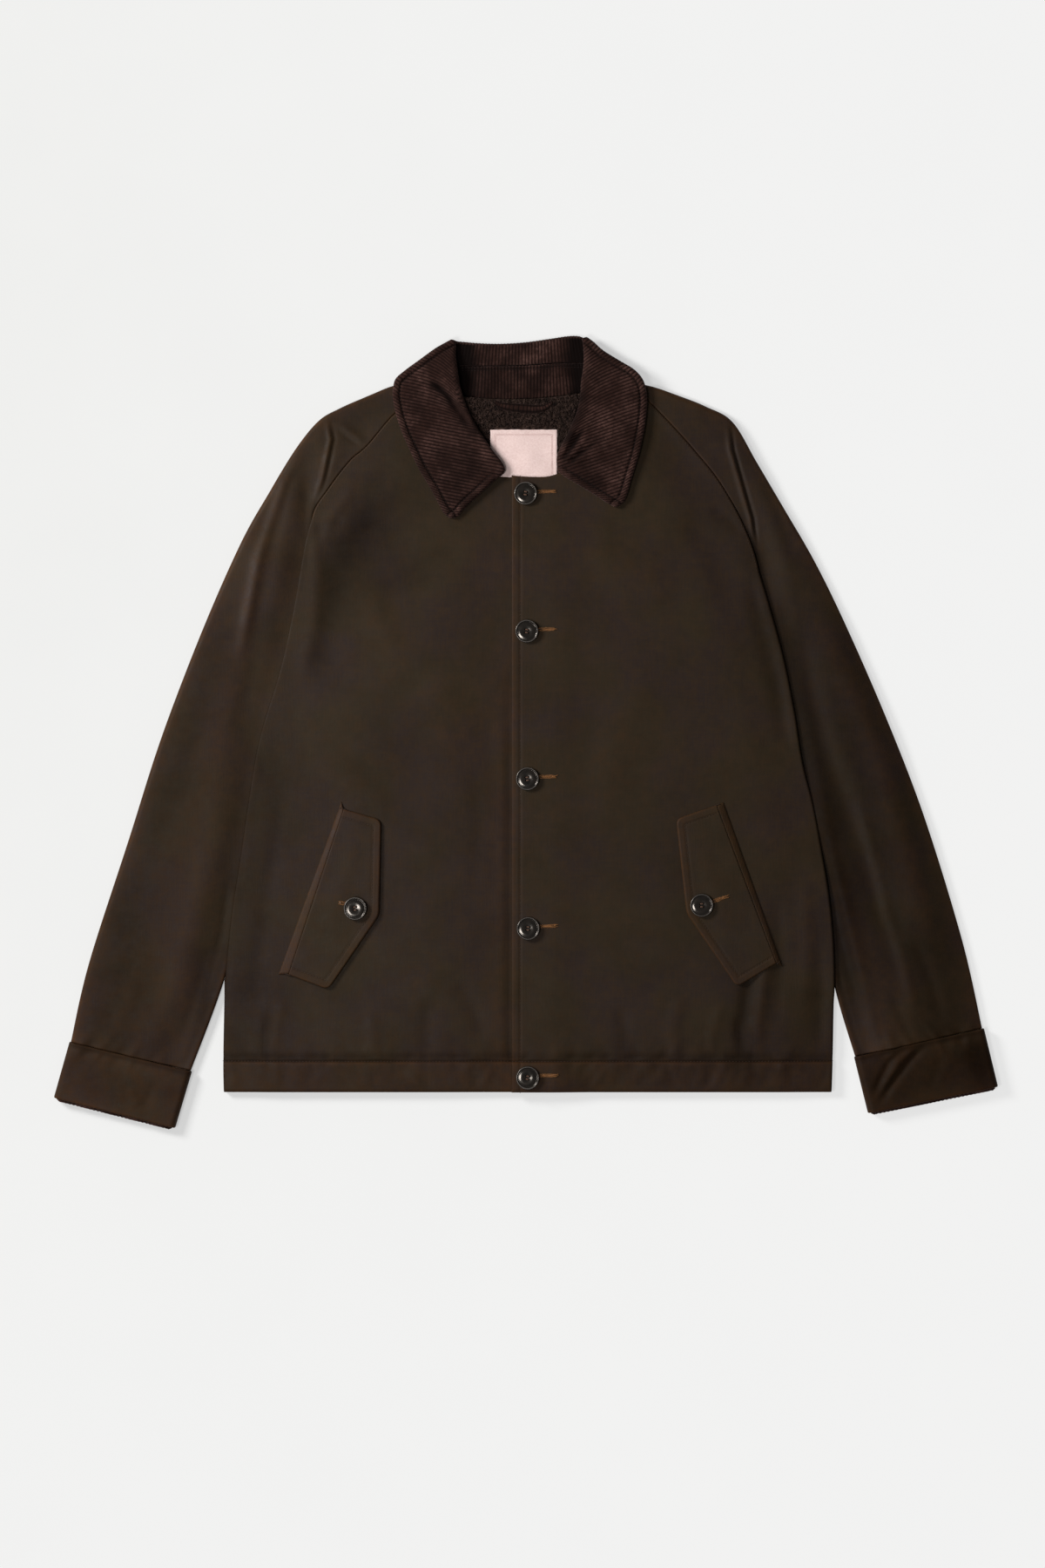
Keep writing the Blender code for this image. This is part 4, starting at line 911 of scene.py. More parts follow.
# Collar: leaves, the fall behind the neck and the stand
leafRows = {  # a row along each wale from the tip up: inner end, outer end, rest, reach of the edges
    "right": (
        (-68.0, 204.8, -73.5, 205.4, 12.1, 12.1, 12.1), (-63.4, 207.6, -78.6, 210.4, 12.1, 12.1, 12.1),
        (-58.4, 213.6, -82.6, 217.6, 12.1, 12.1, 12.1), (-46.7, 224.8, -90.7, 232.7, 12.2, 12.2, 12.1),
        (-30.4, 239.9, -102.5, 252.8, 12.3, 12.3, 12.1), (-19.3, 252.0, -111.7, 272.2, 12.6, 9.6, 12.1),
        (-31.9, 271.3, -118.4, 287.3, 13.0, 8.4, 12.1), (-43.7, 288.1, -123.5, 302.4, 13.4, 9.4, 12.1),
        (-52.9, 304.9, -126.8, 318.4, 13.6, 10.0, 12.1), (-58.0, 317.5, -126.8, 329.0, 13.6, 10.0, 12.1),
        (-62.2, 331.0, -124.3, 338.5, 13.4, 8.0, 11.2), (-63.8, 341.0, -115.1, 346.9, 13.0, 7.6, 3.8),
        (-65.5, 352.8, -102.5, 356.2, 12.4, 7.8, 3.8), (-66.6, 363.0, -87.0, 367.6, 11.4, 7.8, 5.0),
        (-66.4, 371.0, -77.5, 373.4, 9.6, 7.8, 7.0), (-66.2, 375.6, -71.5, 376.8, 8.4, 5.8, 7.0),
    ),
    "left": (
        (85.8, 215.4, 88.2, 215.6, 13.4, 13.4, 12.1), (78.5, 219.5, 96.0, 222.5, 13.4, 13.4, 12.1),
        (58.0, 232.5, 103.3, 245.3, 13.4, 13.4, 12.1), (33.9, 247.4, 110.0, 268.0, 13.6, 13.6, 12.1),
        (31.2, 254.5, 111.5, 275.0, 13.6, 12.0, 12.1), (31.1, 266.3, 114.2, 288.5, 13.6, 8.4, 12.1),
        (42.0, 289.0, 116.8, 309.1, 13.6, 9.4, 12.0), (49.6, 307.4, 116.8, 324.0, 13.6, 10.2, 12.1),
        (52.9, 323.4, 113.5, 337.0, 13.4, 10.2, 11.2), (53.8, 336.0, 105.0, 347.3, 13.0, 7.6, 3.8),
        (55.6, 348.6, 90.7, 356.2, 12.4, 7.8, 3.8), (56.4, 360.4, 75.2, 366.0, 11.4, 7.8, 5.0),
        (55.6, 371.5, 66.0, 374.4, 9.8, 7.8, 7.0), (54.4, 377.6, 59.6, 379.2, 8.4, 5.8, 7.0),
    ),
}
leafCreases = {
    "right": (
        (((-93, 338), (-84, 332), (-74, 323), (-62, 306), (-50, 288)), 3.2, -3.0),
        (((-86, 340), (-76, 334), (-66, 318), (-55, 298)), 3.4, 1.4),
        (((-99, 332), (-84, 320), (-68, 304)), 6.0, 1.4), (((-82, 344), (-70, 338), (-60, 330)), 5.0, 1.2),
        (((-98, 300), (-70, 290), (-50, 288)), 9.0, -0.5), (((-60, 262), (-78, 246), (-86, 230)), 10.0, 0.5),
    ),
    "left": (
        (((31, 259), (40, 277), (50, 297)), 2.2, 1.7), (((33, 257), (45, 275), (57, 292)), 1.8, -1.5),
        (((35, 256), (50, 271), (64, 286)), 2.3, 1.5), (((37, 254), (54, 267), (70, 279)), 2.0, -1.3),
        (((40, 252), (58, 263), (78, 271)), 2.6, 1.2), (((80, 296), (62, 282), (46, 268)), 9.0, -0.9),
        (((92, 330), (100, 306), (98, 280)), 9.0, 0.6), (((62, 254), (82, 248), (96, 252)), 8.0, -0.5),
    ),
}
leafCut = {
    "pitch": 0.52,
    "waleGap": 3.15,
    "waleRise": 0.85,
    "rope": 3.4,
    "lean": {
        "right": (-126.0, 1.0, 0.20, (303.0, 360.0), 1.05),
        "left": (117.0, -1.0, 0.34, (290.0, 350.0), 0.42),
    },
    "wall": 2.2,
    "border": 6.8,
    "groove": 1.2,
    "roll": 6.0,
}
fallRows = (  # the edge sewn to the stand, the roll, and the outer edge under the back
    (-74, 352.0, -70.0, 376.5, -122, 336), (-64, 352.0, -60.0, 375.4, -104, 327),
    (-45, 352.0, -42.0, 374.0, -72, 317), (-24, 352.2, -23.0, 373.6, -36, 310),
    (0, 352.8, 0.0, 375.0, -2, 307.4), (24, 354.4, 23.0, 378.2, 32, 309.5), (44, 355.2, 41.0, 380.8, 68, 318),
    (58, 354.6, 52.0, 380.8, 94, 329), (66, 353.0, 59.0, 377.5, 110, 338),
)
fallCut = {"pitch": 0.5, "radius": 3.55, "wall": 2.2}
leafDark = {  # painted shade where the leaf folds and where shade falls on it
    "right": (
        (((-94, 336), (-85, 331), (-75, 323), (-68, 314)), 3.4, 0.62),
        (((-76, 326), (-64, 308), (-52, 290), (-40, 274)), 6.0, 0.36),
        (((-120, 270), (-100, 262), (-70, 262), (-30, 262)), 16.0, 0.16),
        (((-112, 330), (-100, 318), (-96, 300)), 11.0, 0.16),
        (((-84, 246), (-72, 232), (-66, 212)), 10.0, 0.20), (((-44, 262), (-56, 248), (-68, 232)), 9.0, 0.22),
    ),
    "left": (
        (((34, 255), (46, 274), (58, 293)), 1.8, 0.55), (((38, 252), (54, 267), (72, 280)), 2.0, 0.50),
        (((32, 262), (40, 282), (50, 306), (56, 340)), 8.0, 0.44),
        (((44, 250), (62, 242), (80, 230)), 11.0, 0.24), (((96, 320), (104, 296), (100, 262)), 8.0, 0.14),
        (((62, 366), (76, 350), (88, 338)), 9.0, 0.16),
    ),
}


def waleAt(run):
    return np.abs(np.sin(math.pi * run / leafCut["waleGap"])) ** 0.6


def leafWales(side, x, y):  # ribs that bend up towards the roll in the upper half
    start, way, lean, (low, high), most = leafCut["lean"][side]
    out = np.clip((x - start) * way, 0, None)
    level = y + lean * out
    for _ in range(12):
        bend = most * easeStep((level - low) / (high - low))
        level = 0.5 * level + 0.5 * (y + lean * out + bend * 15 * (out / 60) ** 4)
    return waleAt(level * math.cos(math.atan(lean)))


def leafEdges(side):  # a leaf's own lower edge and its outer edge, from the tip up
    rows, _ = evenCurve(leafRows[side], 2.0)
    own = (rows[:, 4] - rows[:, 5] < 0.6) & (rows[:, 1] < 262)
    return rows[own, :2], rows[:, 2:4]


def makeLeaf(side):
    rows, _ = evenCurve(leafRows[side], leafCut["pitch"])
    ix, iy, ox, oy, rest, inLow, outLow = (rows[:, k : k + 1] for k in range(7))
    length = np.hypot(ox - ix, oy - iy)
    small = np.minimum(1, length / 26)
    roll = blendTo(2.4, leafCut["roll"], easeStep((rest - inLow - 0.5) / 3))
    inPart = np.array([0, 0, 0.06, 0.2, 0.4, 0.65, 1.0])
    outPart = np.array([12.0, 10.4, 9.0, 8.0, 7.4, 6.8, 6.2, 5.4, 4.4, 3.3, 2.3, 1.4, 0.7, 0.2, 0, 0])
    inRun = inPart * roll * small
    outRun = length - outPart * small
    first, last = inRun[:, -1:] + 1.2 * small, length - 13.5 * small
    spread = first + (last - first) * np.linspace(0, 1, 44)
    run = np.concatenate([inRun, spread, outRun], axis=1)
    x, y = ix + (ox - ix) / length * run, iy + (oy - iy) / length * run
    fromOut = (length - run) / small
    fromIn = run / small
    lower = 1 - easeStep((rest - inLow) / 1.5)  # 1 where the inner end is the leaf's own lower edge
    wale = leafWales(side, x, y)
    ownEdge, farEdge = leafEdges(side)
    toOut, toIn = (pathDistance(x, y, edge)[0] for edge in (farEdge, ownEdge))
    for away, ends, share in ((toOut, (ox, oy), 1.0), (toIn, (ix, iy), lower)):  # the rope-like border
        along = np.cumsum(np.hypot(*(np.diff(end, axis=0, prepend=end[:1]) for end in ends)), axis=0)
        rope = waleAt((along + 0.45 * away) * leafCut["waleGap"] / leafCut["rope"])
        wale = blendTo(wale, rope, share * (1 - easeStep((away - leafCut["border"] + 1.2) / 1.0)))
    top = rest + 3.4
    lift = creaseHeight(x, y, leafCreases[side]) * easeStep(fromOut / 10) * easeStep(fromIn / 8)
    z = top + leafCut["waleRise"] * (wale - 0.7) + lift + softNoise(x, y, 30, 4) * 0.15
    shade = 1.0
    for away, share in ((toOut, 1.0), (toIn, lower)):
        z = z - share * leafCut["groove"] * bell(away - leafCut["border"], 1.0)
        z = z + share * (0.45 + 0.3 * wale) * bell(away - 3.2, 2.4)
        z = z - share * 2.6 * edgeDrop(away, 2.6)
        shade = shade * (1 - 0.6 * share * bell(away - leafCut["border"], 0.8))
    z = z - (1 - lower) * (roll * 0.75) * edgeDrop(run, roll)
    z[:, :1], z[:, -1:] = inLow, outLow
    z[:, 1:2] = np.maximum(z[:, 1:2], inLow + 0.2)
    z[:, -2:-1] = np.maximum(z[:, -2:-1], outLow + 0.2)
    wall = leafCut["wall"]
    inset = np.minimum(wall, length * 0.3)
    innerRun = np.clip(run, inset, length - inset)
    innerX, innerY = ix + (ox - ix) / length * innerRun, iy + (oy - iy) / length * innerRun
    floorZ = rest + 0.4
    innerZ = np.minimum(np.maximum(z - wall, 0), floorZ + 0 * z)
    innerZ[:, :1], innerZ[:, -1:] = inLow, outLow
    # Painted shade: darker towards the leaf's lower end (towards its inner side on the left leaf) and in the
    # listed folds, with random unevenness; shade also darkens the border's stitch groove
    dark = 0.11 + 0.08 * easeStep((290 - y) / 70)
    if side == "left":
        dark = 0.02 + 0.12 * easeStep((84 - x) / 26)
    dark = np.clip(dark + creaseHeight(x, y, leafDark[side]) + 0.12 * softNoise(x, y, 16, 27), 0, 0.85)
    tint = wale * shade * (1 - dark)
    thing = slab(f"collarLeaf.{side}", stacked(x, y, z), stacked(innerX, innerY, innerZ), corduroy, wale=tint)
    return settle(thing, "corduroy", f"collar_leaf_{side}")


def makeFall():
    rows, runs = evenCurve(fallRows, fallCut["pitch"])
    sx, sy, rx, ry, ox, oy = (rows[:, k : k + 1] for k in range(6))
    length = np.hypot(rx - sx, ry - sy)
    wx, wy = (rx - sx) / length, (ry - sy) / length
    radius, wall = fallCut["radius"], fallCut["wall"]
    wale = waleAt(runs[:, None])
    share = np.concatenate([(0, 0.03, 0.08, 0.16), np.linspace(0.28, 1, 9)])
    run = share * (length - radius)
    turn = np.radians(np.linspace(70, -90, 10))
    x, y = sx + wx * run, sy + 0.3 + wy * run
    cx, cy = sx + wx * (length - radius), sy + wy * (length - radius)
    faint = 0.45 + 0.55 * easeStep(0.5 + softNoise(x, y, 24, 16))
    corner = easeStep((-40 - x) / 16) + easeStep((x - 32) / 16)
    high = 7.1 + 0.55 * faint * (wale - 0.6) - 1.2 * edgeDrop(run, 2.0) + 0.5 * softNoise(x, y, 25, 6)
    bump = radius + 0.4 * (wale - 0.6)
    back = np.linspace(0, 1, 12)[1:]
    ux, uy = cx + (ox - cx) * back, cy + (oy - cy) * back

    def rollAt(reach):
        rollX, rollY = cx + wx * reach * np.cos(turn), cy + wy * reach * np.cos(turn)
        return stacked(rollX, rollY, np.maximum(radius + reach * np.sin(turn), 0))

    outer = [stacked(x, y, high), rollAt(bump)]
    outer.append(stacked(ux, uy, np.maximum(0.45 - 0.45 * wale, 0) + 0 * ux))
    inner = [stacked(x, y, high - wall), rollAt(radius - wall), stacked(ux, uy, 0 * uy + wall)]
    # Painted shade in the corners, where the leaves' rolls shade the fall
    tint = wale * (0.45 + 0.55 * faint) * (1 - 0.92 * np.clip(corner, 0, 1))
    rest = [np.broadcast_to(wale * 0.8, (len(wale), part.shape[1])) for part in outer[1:]]
    tint = np.concatenate([tint, *rest], axis=1)
    outer, inner = (np.concatenate(parts, axis=1) for parts in (outer, inner))
    settle(slab("collarFall", outer, inner, corduroy, wale=tint), "corduroy", "collar_fall")


def makeStandBack():
    runs = np.linspace(0, 138, 277)[:, None]
    x = -70 + runs
    low = backNeck(x) + 0.5
    fallSeam = curveAt(fallRows, np.linspace(0, 8, 200))[:, :2]
    high = np.interp(x * 0.96, fallSeam[:, 0], fallSeam[:, 1]) - 0.5
    first, last = (0, 0.015, 0.04, 0.08), (0.90, 0.93, 0.955, 0.975, 0.99, 1)
    share = np.concatenate([first, np.linspace(0.14, 0.86, 16), last])
    y = low + (high - low) * share
    wale = waleAt(runs + 0 * share + 0.05 * (y - 335) * np.sign(x) * np.clip(np.abs(x + 5) / 10 - 2.5, 0, 4))
    fromEdge = np.minimum(y - low, high - y)
    faint = 0.35 + 0.65 * easeStep(0.5 + softNoise(x, y, 26, 12) - 0.5 * bell(x + 40, 16))
    corner = easeStep((-42 - x) / 16) + easeStep((x - 36) / 16)
    z = 6.4 + 0.6 * faint * (wale - 0.7) - 1.3 * edgeDrop(fromEdge, 2) + 1.0 * bell(y - 329 - x * 0.03, 4.5)
    under = high - y - 2.6
    z = z - 0.5 * bell(under, 1.4) - 0.7 * bell(y - 340, 4.5) + 0.45 * softNoise(x, y, 22, 2) - 0.8 * corner
    # Painted shade in the corners and just under the seam to the fall
    tint = wale * (0.34 + 0.54 * faint) * (1 - 0.9 * np.clip(corner, 0, 1)) * (1 - 0.4 * bell(under, 1.6))
    return layFlat("standBack", "corduroy", "collar_stand_back", x, y, z, 3.9, corduroy, wale=tint)


def makeStandFront(side):
    way = 1 if side == "right" else -1
    table = leafRows[side]
    rolls = [row[:2] for row in table if row[5] < 11 and row[1] < 325]
    share = np.linspace(0, 1, 150)
    roll = curveAt(rolls, share * (len(rolls) - 1))
    seam = curveAt(neckLine[side][2:], 0.6 + share * (len(neckLine[side]) - 4))
    start, end = seam + (way * 2.0, 1.4), roll - (way * 4.8, 0)
    keep = np.hypot(*(end - start).T) > 6
    start, end = start[keep], end[keep]
    across = np.linspace(0, 1, 14)
    x, y = (blendTo(start[:, k : k + 1], end[:, k : k + 1], across) for k in (0, 1))
    run = runAlong((start + end) / 2)[:, None]
    wale = waleAt(run) + 0 * x
    base = 8.6 + 1.4 * easeStep((start[:, 1:] - 270) / 20)
    edge = np.minimum(across, 1 - across) * np.hypot(*(end - start).T)[:, None]
    z = base + 2.7 + 0.5 * (wale - 0.7) - 1.0 * edgeDrop(edge, 1.6)
    layFlat(f"standFront.{side}", "corduroy", f"collar_stand_{side}", x, y, z, base, corduroy, wale=wale)


leaves = {side: makeLeaf(side) for side in bothSides}
makeFall()
standBack = makeStandBack()
for side in bothSides:
    makeStandFront(side)
print("collar made")


# Pile lining, label and hanger loop in the open neck
liningLook = {"gap": 0.5, "wall": 2.5, "curl": 0.0025, "thread": 0.00046, "crowd": 430000.0, "seed": 11}
liningSides = ((320, -60, 54), (305, -54.5, 50.5), (288, -48, 46), (271, -44, 42), (244, -41, 39))


def liningTop(x, y):
    lifted = liftShare(x, y)
    body = overFall["rise"] * lifted + blendTo(bodyWall, overFall["wall"], lifted)
    return body + liningLook["gap"] + liningLook["wall"]


def downNeck(levels):  # 0 at the top of the lining that shows, 1 at its foot
    top, foot = liningSides[0][0], liningSides[-1][0]
    return (top - levels) / (top - foot)


def makeLining():
    sides = curveAt(liningSides, np.linspace(0, 4, 60))
    x = sides[:, 1:2] + (sides[:, 2:3] - sides[:, 1:2]) * np.linspace(0, 1, 76)
    y = blendTo(backNeck(x) - 0.5, frontNeck(x) - 2.5, downNeck(sides[:, :1]))
    edge = np.minimum(np.minimum(x - x[:, :1], x[:, -1:] - x), y[:1] - y)
    calm = 1 - 0.75 * easeStep((labelCut["top"] + 2 - y) / 3)  # flatter under the label
    waves = 0.55 * softNoise(x, y, 5, 14) + 0.4 * softNoise(x, y, 24, 3)
    top = liningTop(x, y) - 1.2 * edgeDrop(edge, 2.5) + waves * calm
    low = liningTop(x, y) - 2.4
    layFlat("neckLining", "pile", "neck_lining", x, y, top, low, finishes["fleece"])


labelCut = {"x": (-33.6, 30.7), "top": 290.2, "wall": 0.8}


def makeLabel():
    across = np.concatenate([(0, 0.004, 0.01), np.linspace(0.025, 0.975, 60), (0.99, 0.996, 1)])
    down = np.concatenate([(0, 0.006, 0.015), np.linspace(0.03, 1, 44)])[:, None]
    left, right = labelCut["x"]
    x = blendTo(left, right, across) + 0 * down
    x = x + 0.35 * softNoise(0 * x + 5, 0 * x + down * 44, 9, 21) * (np.abs(across - 0.5) * 2) ** 6
    y = blendTo(labelCut["top"] + 0.3 * softNoise(x, 0 * x, 9, 22), frontNeck(x) - 1.5, down)
    edge = np.minimum(np.minimum(x - left, right - x), labelCut["top"] - y)
    border = bell(edge - 6.5, 0.35)
    top = liningTop(x, y) + 1.1 + 0.25 * softNoise(x, y, 26, 7) + 0.12 * bell(edge - 1.2, 0.8)
    top = top - 0.4 * edgeDrop(edge, 0.8) - 0.08 * border
    low = top - labelCut["wall"]
    return layFlat("neckLabel", "label", "label", x, y, top, low, finishes["labelCloth"])


loopPath = ((-29, 316.8), (-24, 313.6), (-14, 311.6), (0, 310.4), (10, 309.9), (19, 311.4), (26, 316.0))


def makeLoop():
    count = 170
    line = curveAt(loopPath, np.linspace(0, 6, count))
    ahead = np.gradient(line, axis=0)
    ahead /= np.linalg.norm(ahead, axis=1, keepdims=True)
    normal = np.stack([-ahead[:, 1], ahead[:, 0]], axis=1)
    share = np.linspace(-1, 1, 15)
    half = 1.5 + 2.9 * np.sin(math.pi * np.linspace(0, 1, count)) ** 0.8
    x, y = (line[:, k : k + 1] + normal[:, k : k + 1] * share * half[:, None] for k in (0, 1))
    low = liningTop(line[:, :1], line[:, 1:]) + 0.5 + 0 * x
    # Dark seam lines, and painted shade towards the loop's rounded edges, most on its lower side
    seamsAndEdgeShade = (0.7 - 0.6 * bell(np.abs(share) - 0.62, 0.10)) * (0.5 + 0.5 * bell(share - 0.1, 0.5))
    wale = seamsAndEdgeShade * waleAt(np.arange(count)[:, None] * 0.35) ** 0.5 + 0 * x
    top = low + 1.5 + 0.35 * wale - 1.1 * edgeDrop(1 - np.abs(share), 0.35)
    layFlat("hangerLoop", "corduroy", "hanger_loop", x, y, top, low, corduroy, wale=wale)


makeLining()
label = makeLabel()
makeLoop()
print("neck made")


# Pocket flaps, each with the narrow welt it is sewn into
flapCorners = {
    "right": ((-174.1, -74.5), (-138.2, -84.8), (-140.0, -176.4), (-189.0, -247.8), (-227.1, -233.5)),
    "left": ((183.7, -70.6), (144.9, -84.0), (155.0, -174.7), (203.3, -245.3), (241.1, -222.6)),
}
weltLines = {"right": ((-176.4, -67.2), (-236.9, -233.5)), "left": ((190.5, -67.8), (247.4, -226.0))}
weltCut = {"long": 176, "ribGap": 2.1, "sunk": 0.6}
flapCut = {"base": 12.3, "wall": 3.0, "stitchIn": 7.6, "corners": (6.5, 5.0, 6.5)}
flapCreases = {
    "right": ((((-160, -100), (-176, -150), (-190, -200)), 9, 0.5), (((-150, -150), (-170, -205)), 7, -0.4)),
    "left": ((((165, -100), (182, -150), (196, -200)), 9, 0.45), (((160, -160), (190, -215)), 7, -0.45)),
}


def roundCorner(before, here, after, reach):
    here = np.array(here, float)
    first = here + (np.array(before) - here) / math.dist(before, here) * reach
    last = here + (np.array(after) - here) / math.dist(after, here) * reach
    t = np.linspace(0, 1, 9)[:, None]
    return first * (1 - t) ** 2 + here * 2 * t * (1 - t) + last * t**2


def spaced(path, count, squeeze=0.0):  # points spread along a path, a little closer at its ends
    path = np.asarray(path, float)
    run = runAlong(path)
    t = np.linspace(0, 1, count)
    t = t - squeeze * np.sin(math.tau * t) / math.tau
    return np.stack([np.interp(t * run[-1], run, path[:, k]) for k in (0, 1)], axis=1)


def patchGrid(top, bottom, left, right):  # a grid between four edges that meet at their ends
    n, m = len(left), len(top)
    v, u = np.linspace(0, 1, n)[:, None, None], np.linspace(0, 1, m)[None, :, None]
    edges = (1 - v) * top[None] + v * bottom[None] + (1 - u) * left[:, None] + u * right[:, None]
    corners = (1 - v) * ((1 - u) * top[0] + u * top[-1]) + v * ((1 - u) * bottom[0] + u * bottom[-1])
    return edges - corners


def flapOutline(side):
    a, b, c, d, e = flapCorners[side]
    corners = zip((a, b, c), (b, c, d), (c, d, e), flapCut["corners"])
    roundB, roundC, roundD = (roundCorner(*corner) for corner in corners)
    top = np.concatenate([[a], roundB[:5]])
    free = np.concatenate([roundB[4:], roundC, roundD[:5]])
    bottom = np.concatenate([[e], roundD[4:][::-1]])
    return top, free, bottom, np.array([a, e])


def makeFlap(side):
    top, free, bottom, attached = flapOutline(side)
    edges = ((top, 40), (bottom, 40), (attached, 118), (free, 118))
    grid = patchGrid(*(spaced(edge, count, 0.6) for edge, count in edges))
    x, y = grid[..., 0], grid[..., 1]
    loose = np.concatenate([top, free[1:], bottom[::-1][1:]])
    edge, _ = pathDistance(x, y, loose)
    sewn, _ = pathDistance(x, y, attached)
    lift = creaseHeight(x, y, flapCreases[side]) + 0.22 * softNoise(x, y, 38, 6)
    z = flapCut["base"] + flapCut["wall"] + lift * easeStep(edge / 12) * easeStep(sewn / 12)
    z = z - 1.7 * edgeDrop(edge, 1.6) - 0.45 * edgeDrop(sewn, 0.9)
    inside = edge - flapCut["stitchIn"]
    z = z - 0.35 * bell(inside, 0.9) * easeStep(sewn / 4) + 0.1 * easeStep(-inside / 1.5)
    wear = 0.6 * bell(edge, 1.7) + 0.25 * bell(edge - 4, 3.5) + 0.1 * bell(sewn, 2.5) + ridgesOf(lift)
    place = (f"pocketFlap.{side}", "shell", f"pocket_flap_{side}", x, y)
    return layFlat(*place, z, flapCut["base"], waxCloth, wear=np.clip(wear, 0, 1))


def surfaceUnder(thing):  # the height of a piece at a place, in millimetres
    form = bmesh.new()
    form.from_mesh(thing.data)
    tree = BVHTree.FromBMesh(form)
    form.free()

    def heightAt(x, y):
        hit = tree.ray_cast(Vector((x * 0.001, y * 0.001, 0.1)), Vector((0, 0, -1)))[0]
        return None if hit is None else hit.z * 1000

    return heightAt


def dropOnto(path, heightAt, rise=0.0, pitch=2.0):  # points along a path, laid on a surface
    count = max(3, int(sum(math.dist(a, b) for a, b in zip(path, path[1:])) / pitch) + 1)
    points, last = [], None
    for x, y in spaced(path, count):
        z = heightAt(x, y)
        last = z if z is not None else last
        points.append((x, y, last))
    known = next(p[2] for p in points if p[2] is not None)
    return [(x, y, (known if z is None else z) + rise) for x, y, z in points]


def makeWelt(side, heightAt):
    start, end = (np.array(p) for p in weltLines[side])
    a, _, _, _, e = (np.array(p) for p in flapCorners[side])
    v = np.linspace(0, 1, 120)[:, None]
    u = np.array([0, 0.03, 0.08, 0.15, 0.24, 0.34, 0.45, 0.56, 0.67, 0.77, 0.86, 0.93, 0.97, 1.0])
    outside, inside = blendTo(start, end, v), blendTo(a, e, v)
    x, y = (blendTo(outside[:, k : k + 1], inside[:, k : k + 1], u) for k in (0, 1))
    base = np.array([[heightAt(px, py) for px, py in zip(*row)] for row in zip(x, y)])
    width = np.hypot(*(inside - outside).T)[:, None]
    edge = np.minimum(u * width, np.minimum(v, 1 - v) * weltCut["long"])
    ribs = np.abs(np.sin(math.pi * (v * weltCut["long"] + u * width * 0.8) / weltCut["ribGap"]))
    step = flapCut["base"] + flapCut["wall"] - 0.4 - base
    joint = bell((1 - u) * width, 0.6)
    rise = blendTo(0.45, 0.96, easeStep(u)) * step * roundOver(edge + 0.1, 2.8) - 0.25 * joint
    z = base + np.maximum(rise, 0.25) + 0.22 * ribs * easeStep(edge / 1.5)
    wear = np.clip(0.12 + 0.40 * ribs + 0.3 * bell(edge, 1.2) * softNoise(x, y, 6, 3), 0, 1)
    outer, inner = stacked(x, y, z), stacked(x, y, base - weltCut["sunk"])
    # Painted shade in the seam groove where the welt meets the flap
    settle(slab(f"pocketWelt.{side}", outer, inner, waxCloth, wear=wear, heavy=0.3 * joint), "shell")


frontHeight = {side: surfaceUnder(fronts[side]) for side in bothSides}
flaps = {}
for side in bothSides:
    flaps[side] = makeFlap(side)
    makeWelt(side, frontHeight[side])
print("pockets made")


# Buttons
buttonCut = {
    "sides": 56,
    "drillSides": 14,
    "holeAt": 2.05,
    "square": 0.707,  # the holes' distance along each side, as a share of that
    "rest": {"front": 13.2, "flap": 15.6},
    "hole": 1.05,
    "profile": (
        (0.0, 0.0), (9.4, 0.0), (10.4, 0.5), (11.0, 1.5), (11.1, 2.6), (10.95, 3.3), (10.6, 3.75),
        (10.25, 3.92), (9.9, 3.75), (9.6, 3.3), (9.3, 2.75), (8.95, 2.6), (8.6, 2.7), (7.6, 2.98),
        (6.2, 3.15), (4.6, 3.12), (3.2, 2.92), (1.6, 2.75), (0.0, 2.7),
    ),
}
frontButtons = ((0.4, 228.5), (1.6, 96.2), (2.2, -45.4), (2.9, -189.0), (2.4, -332.2))
flapButtons = {"right": (-163.0, -169.8), "left": (169.3, -166.7)}


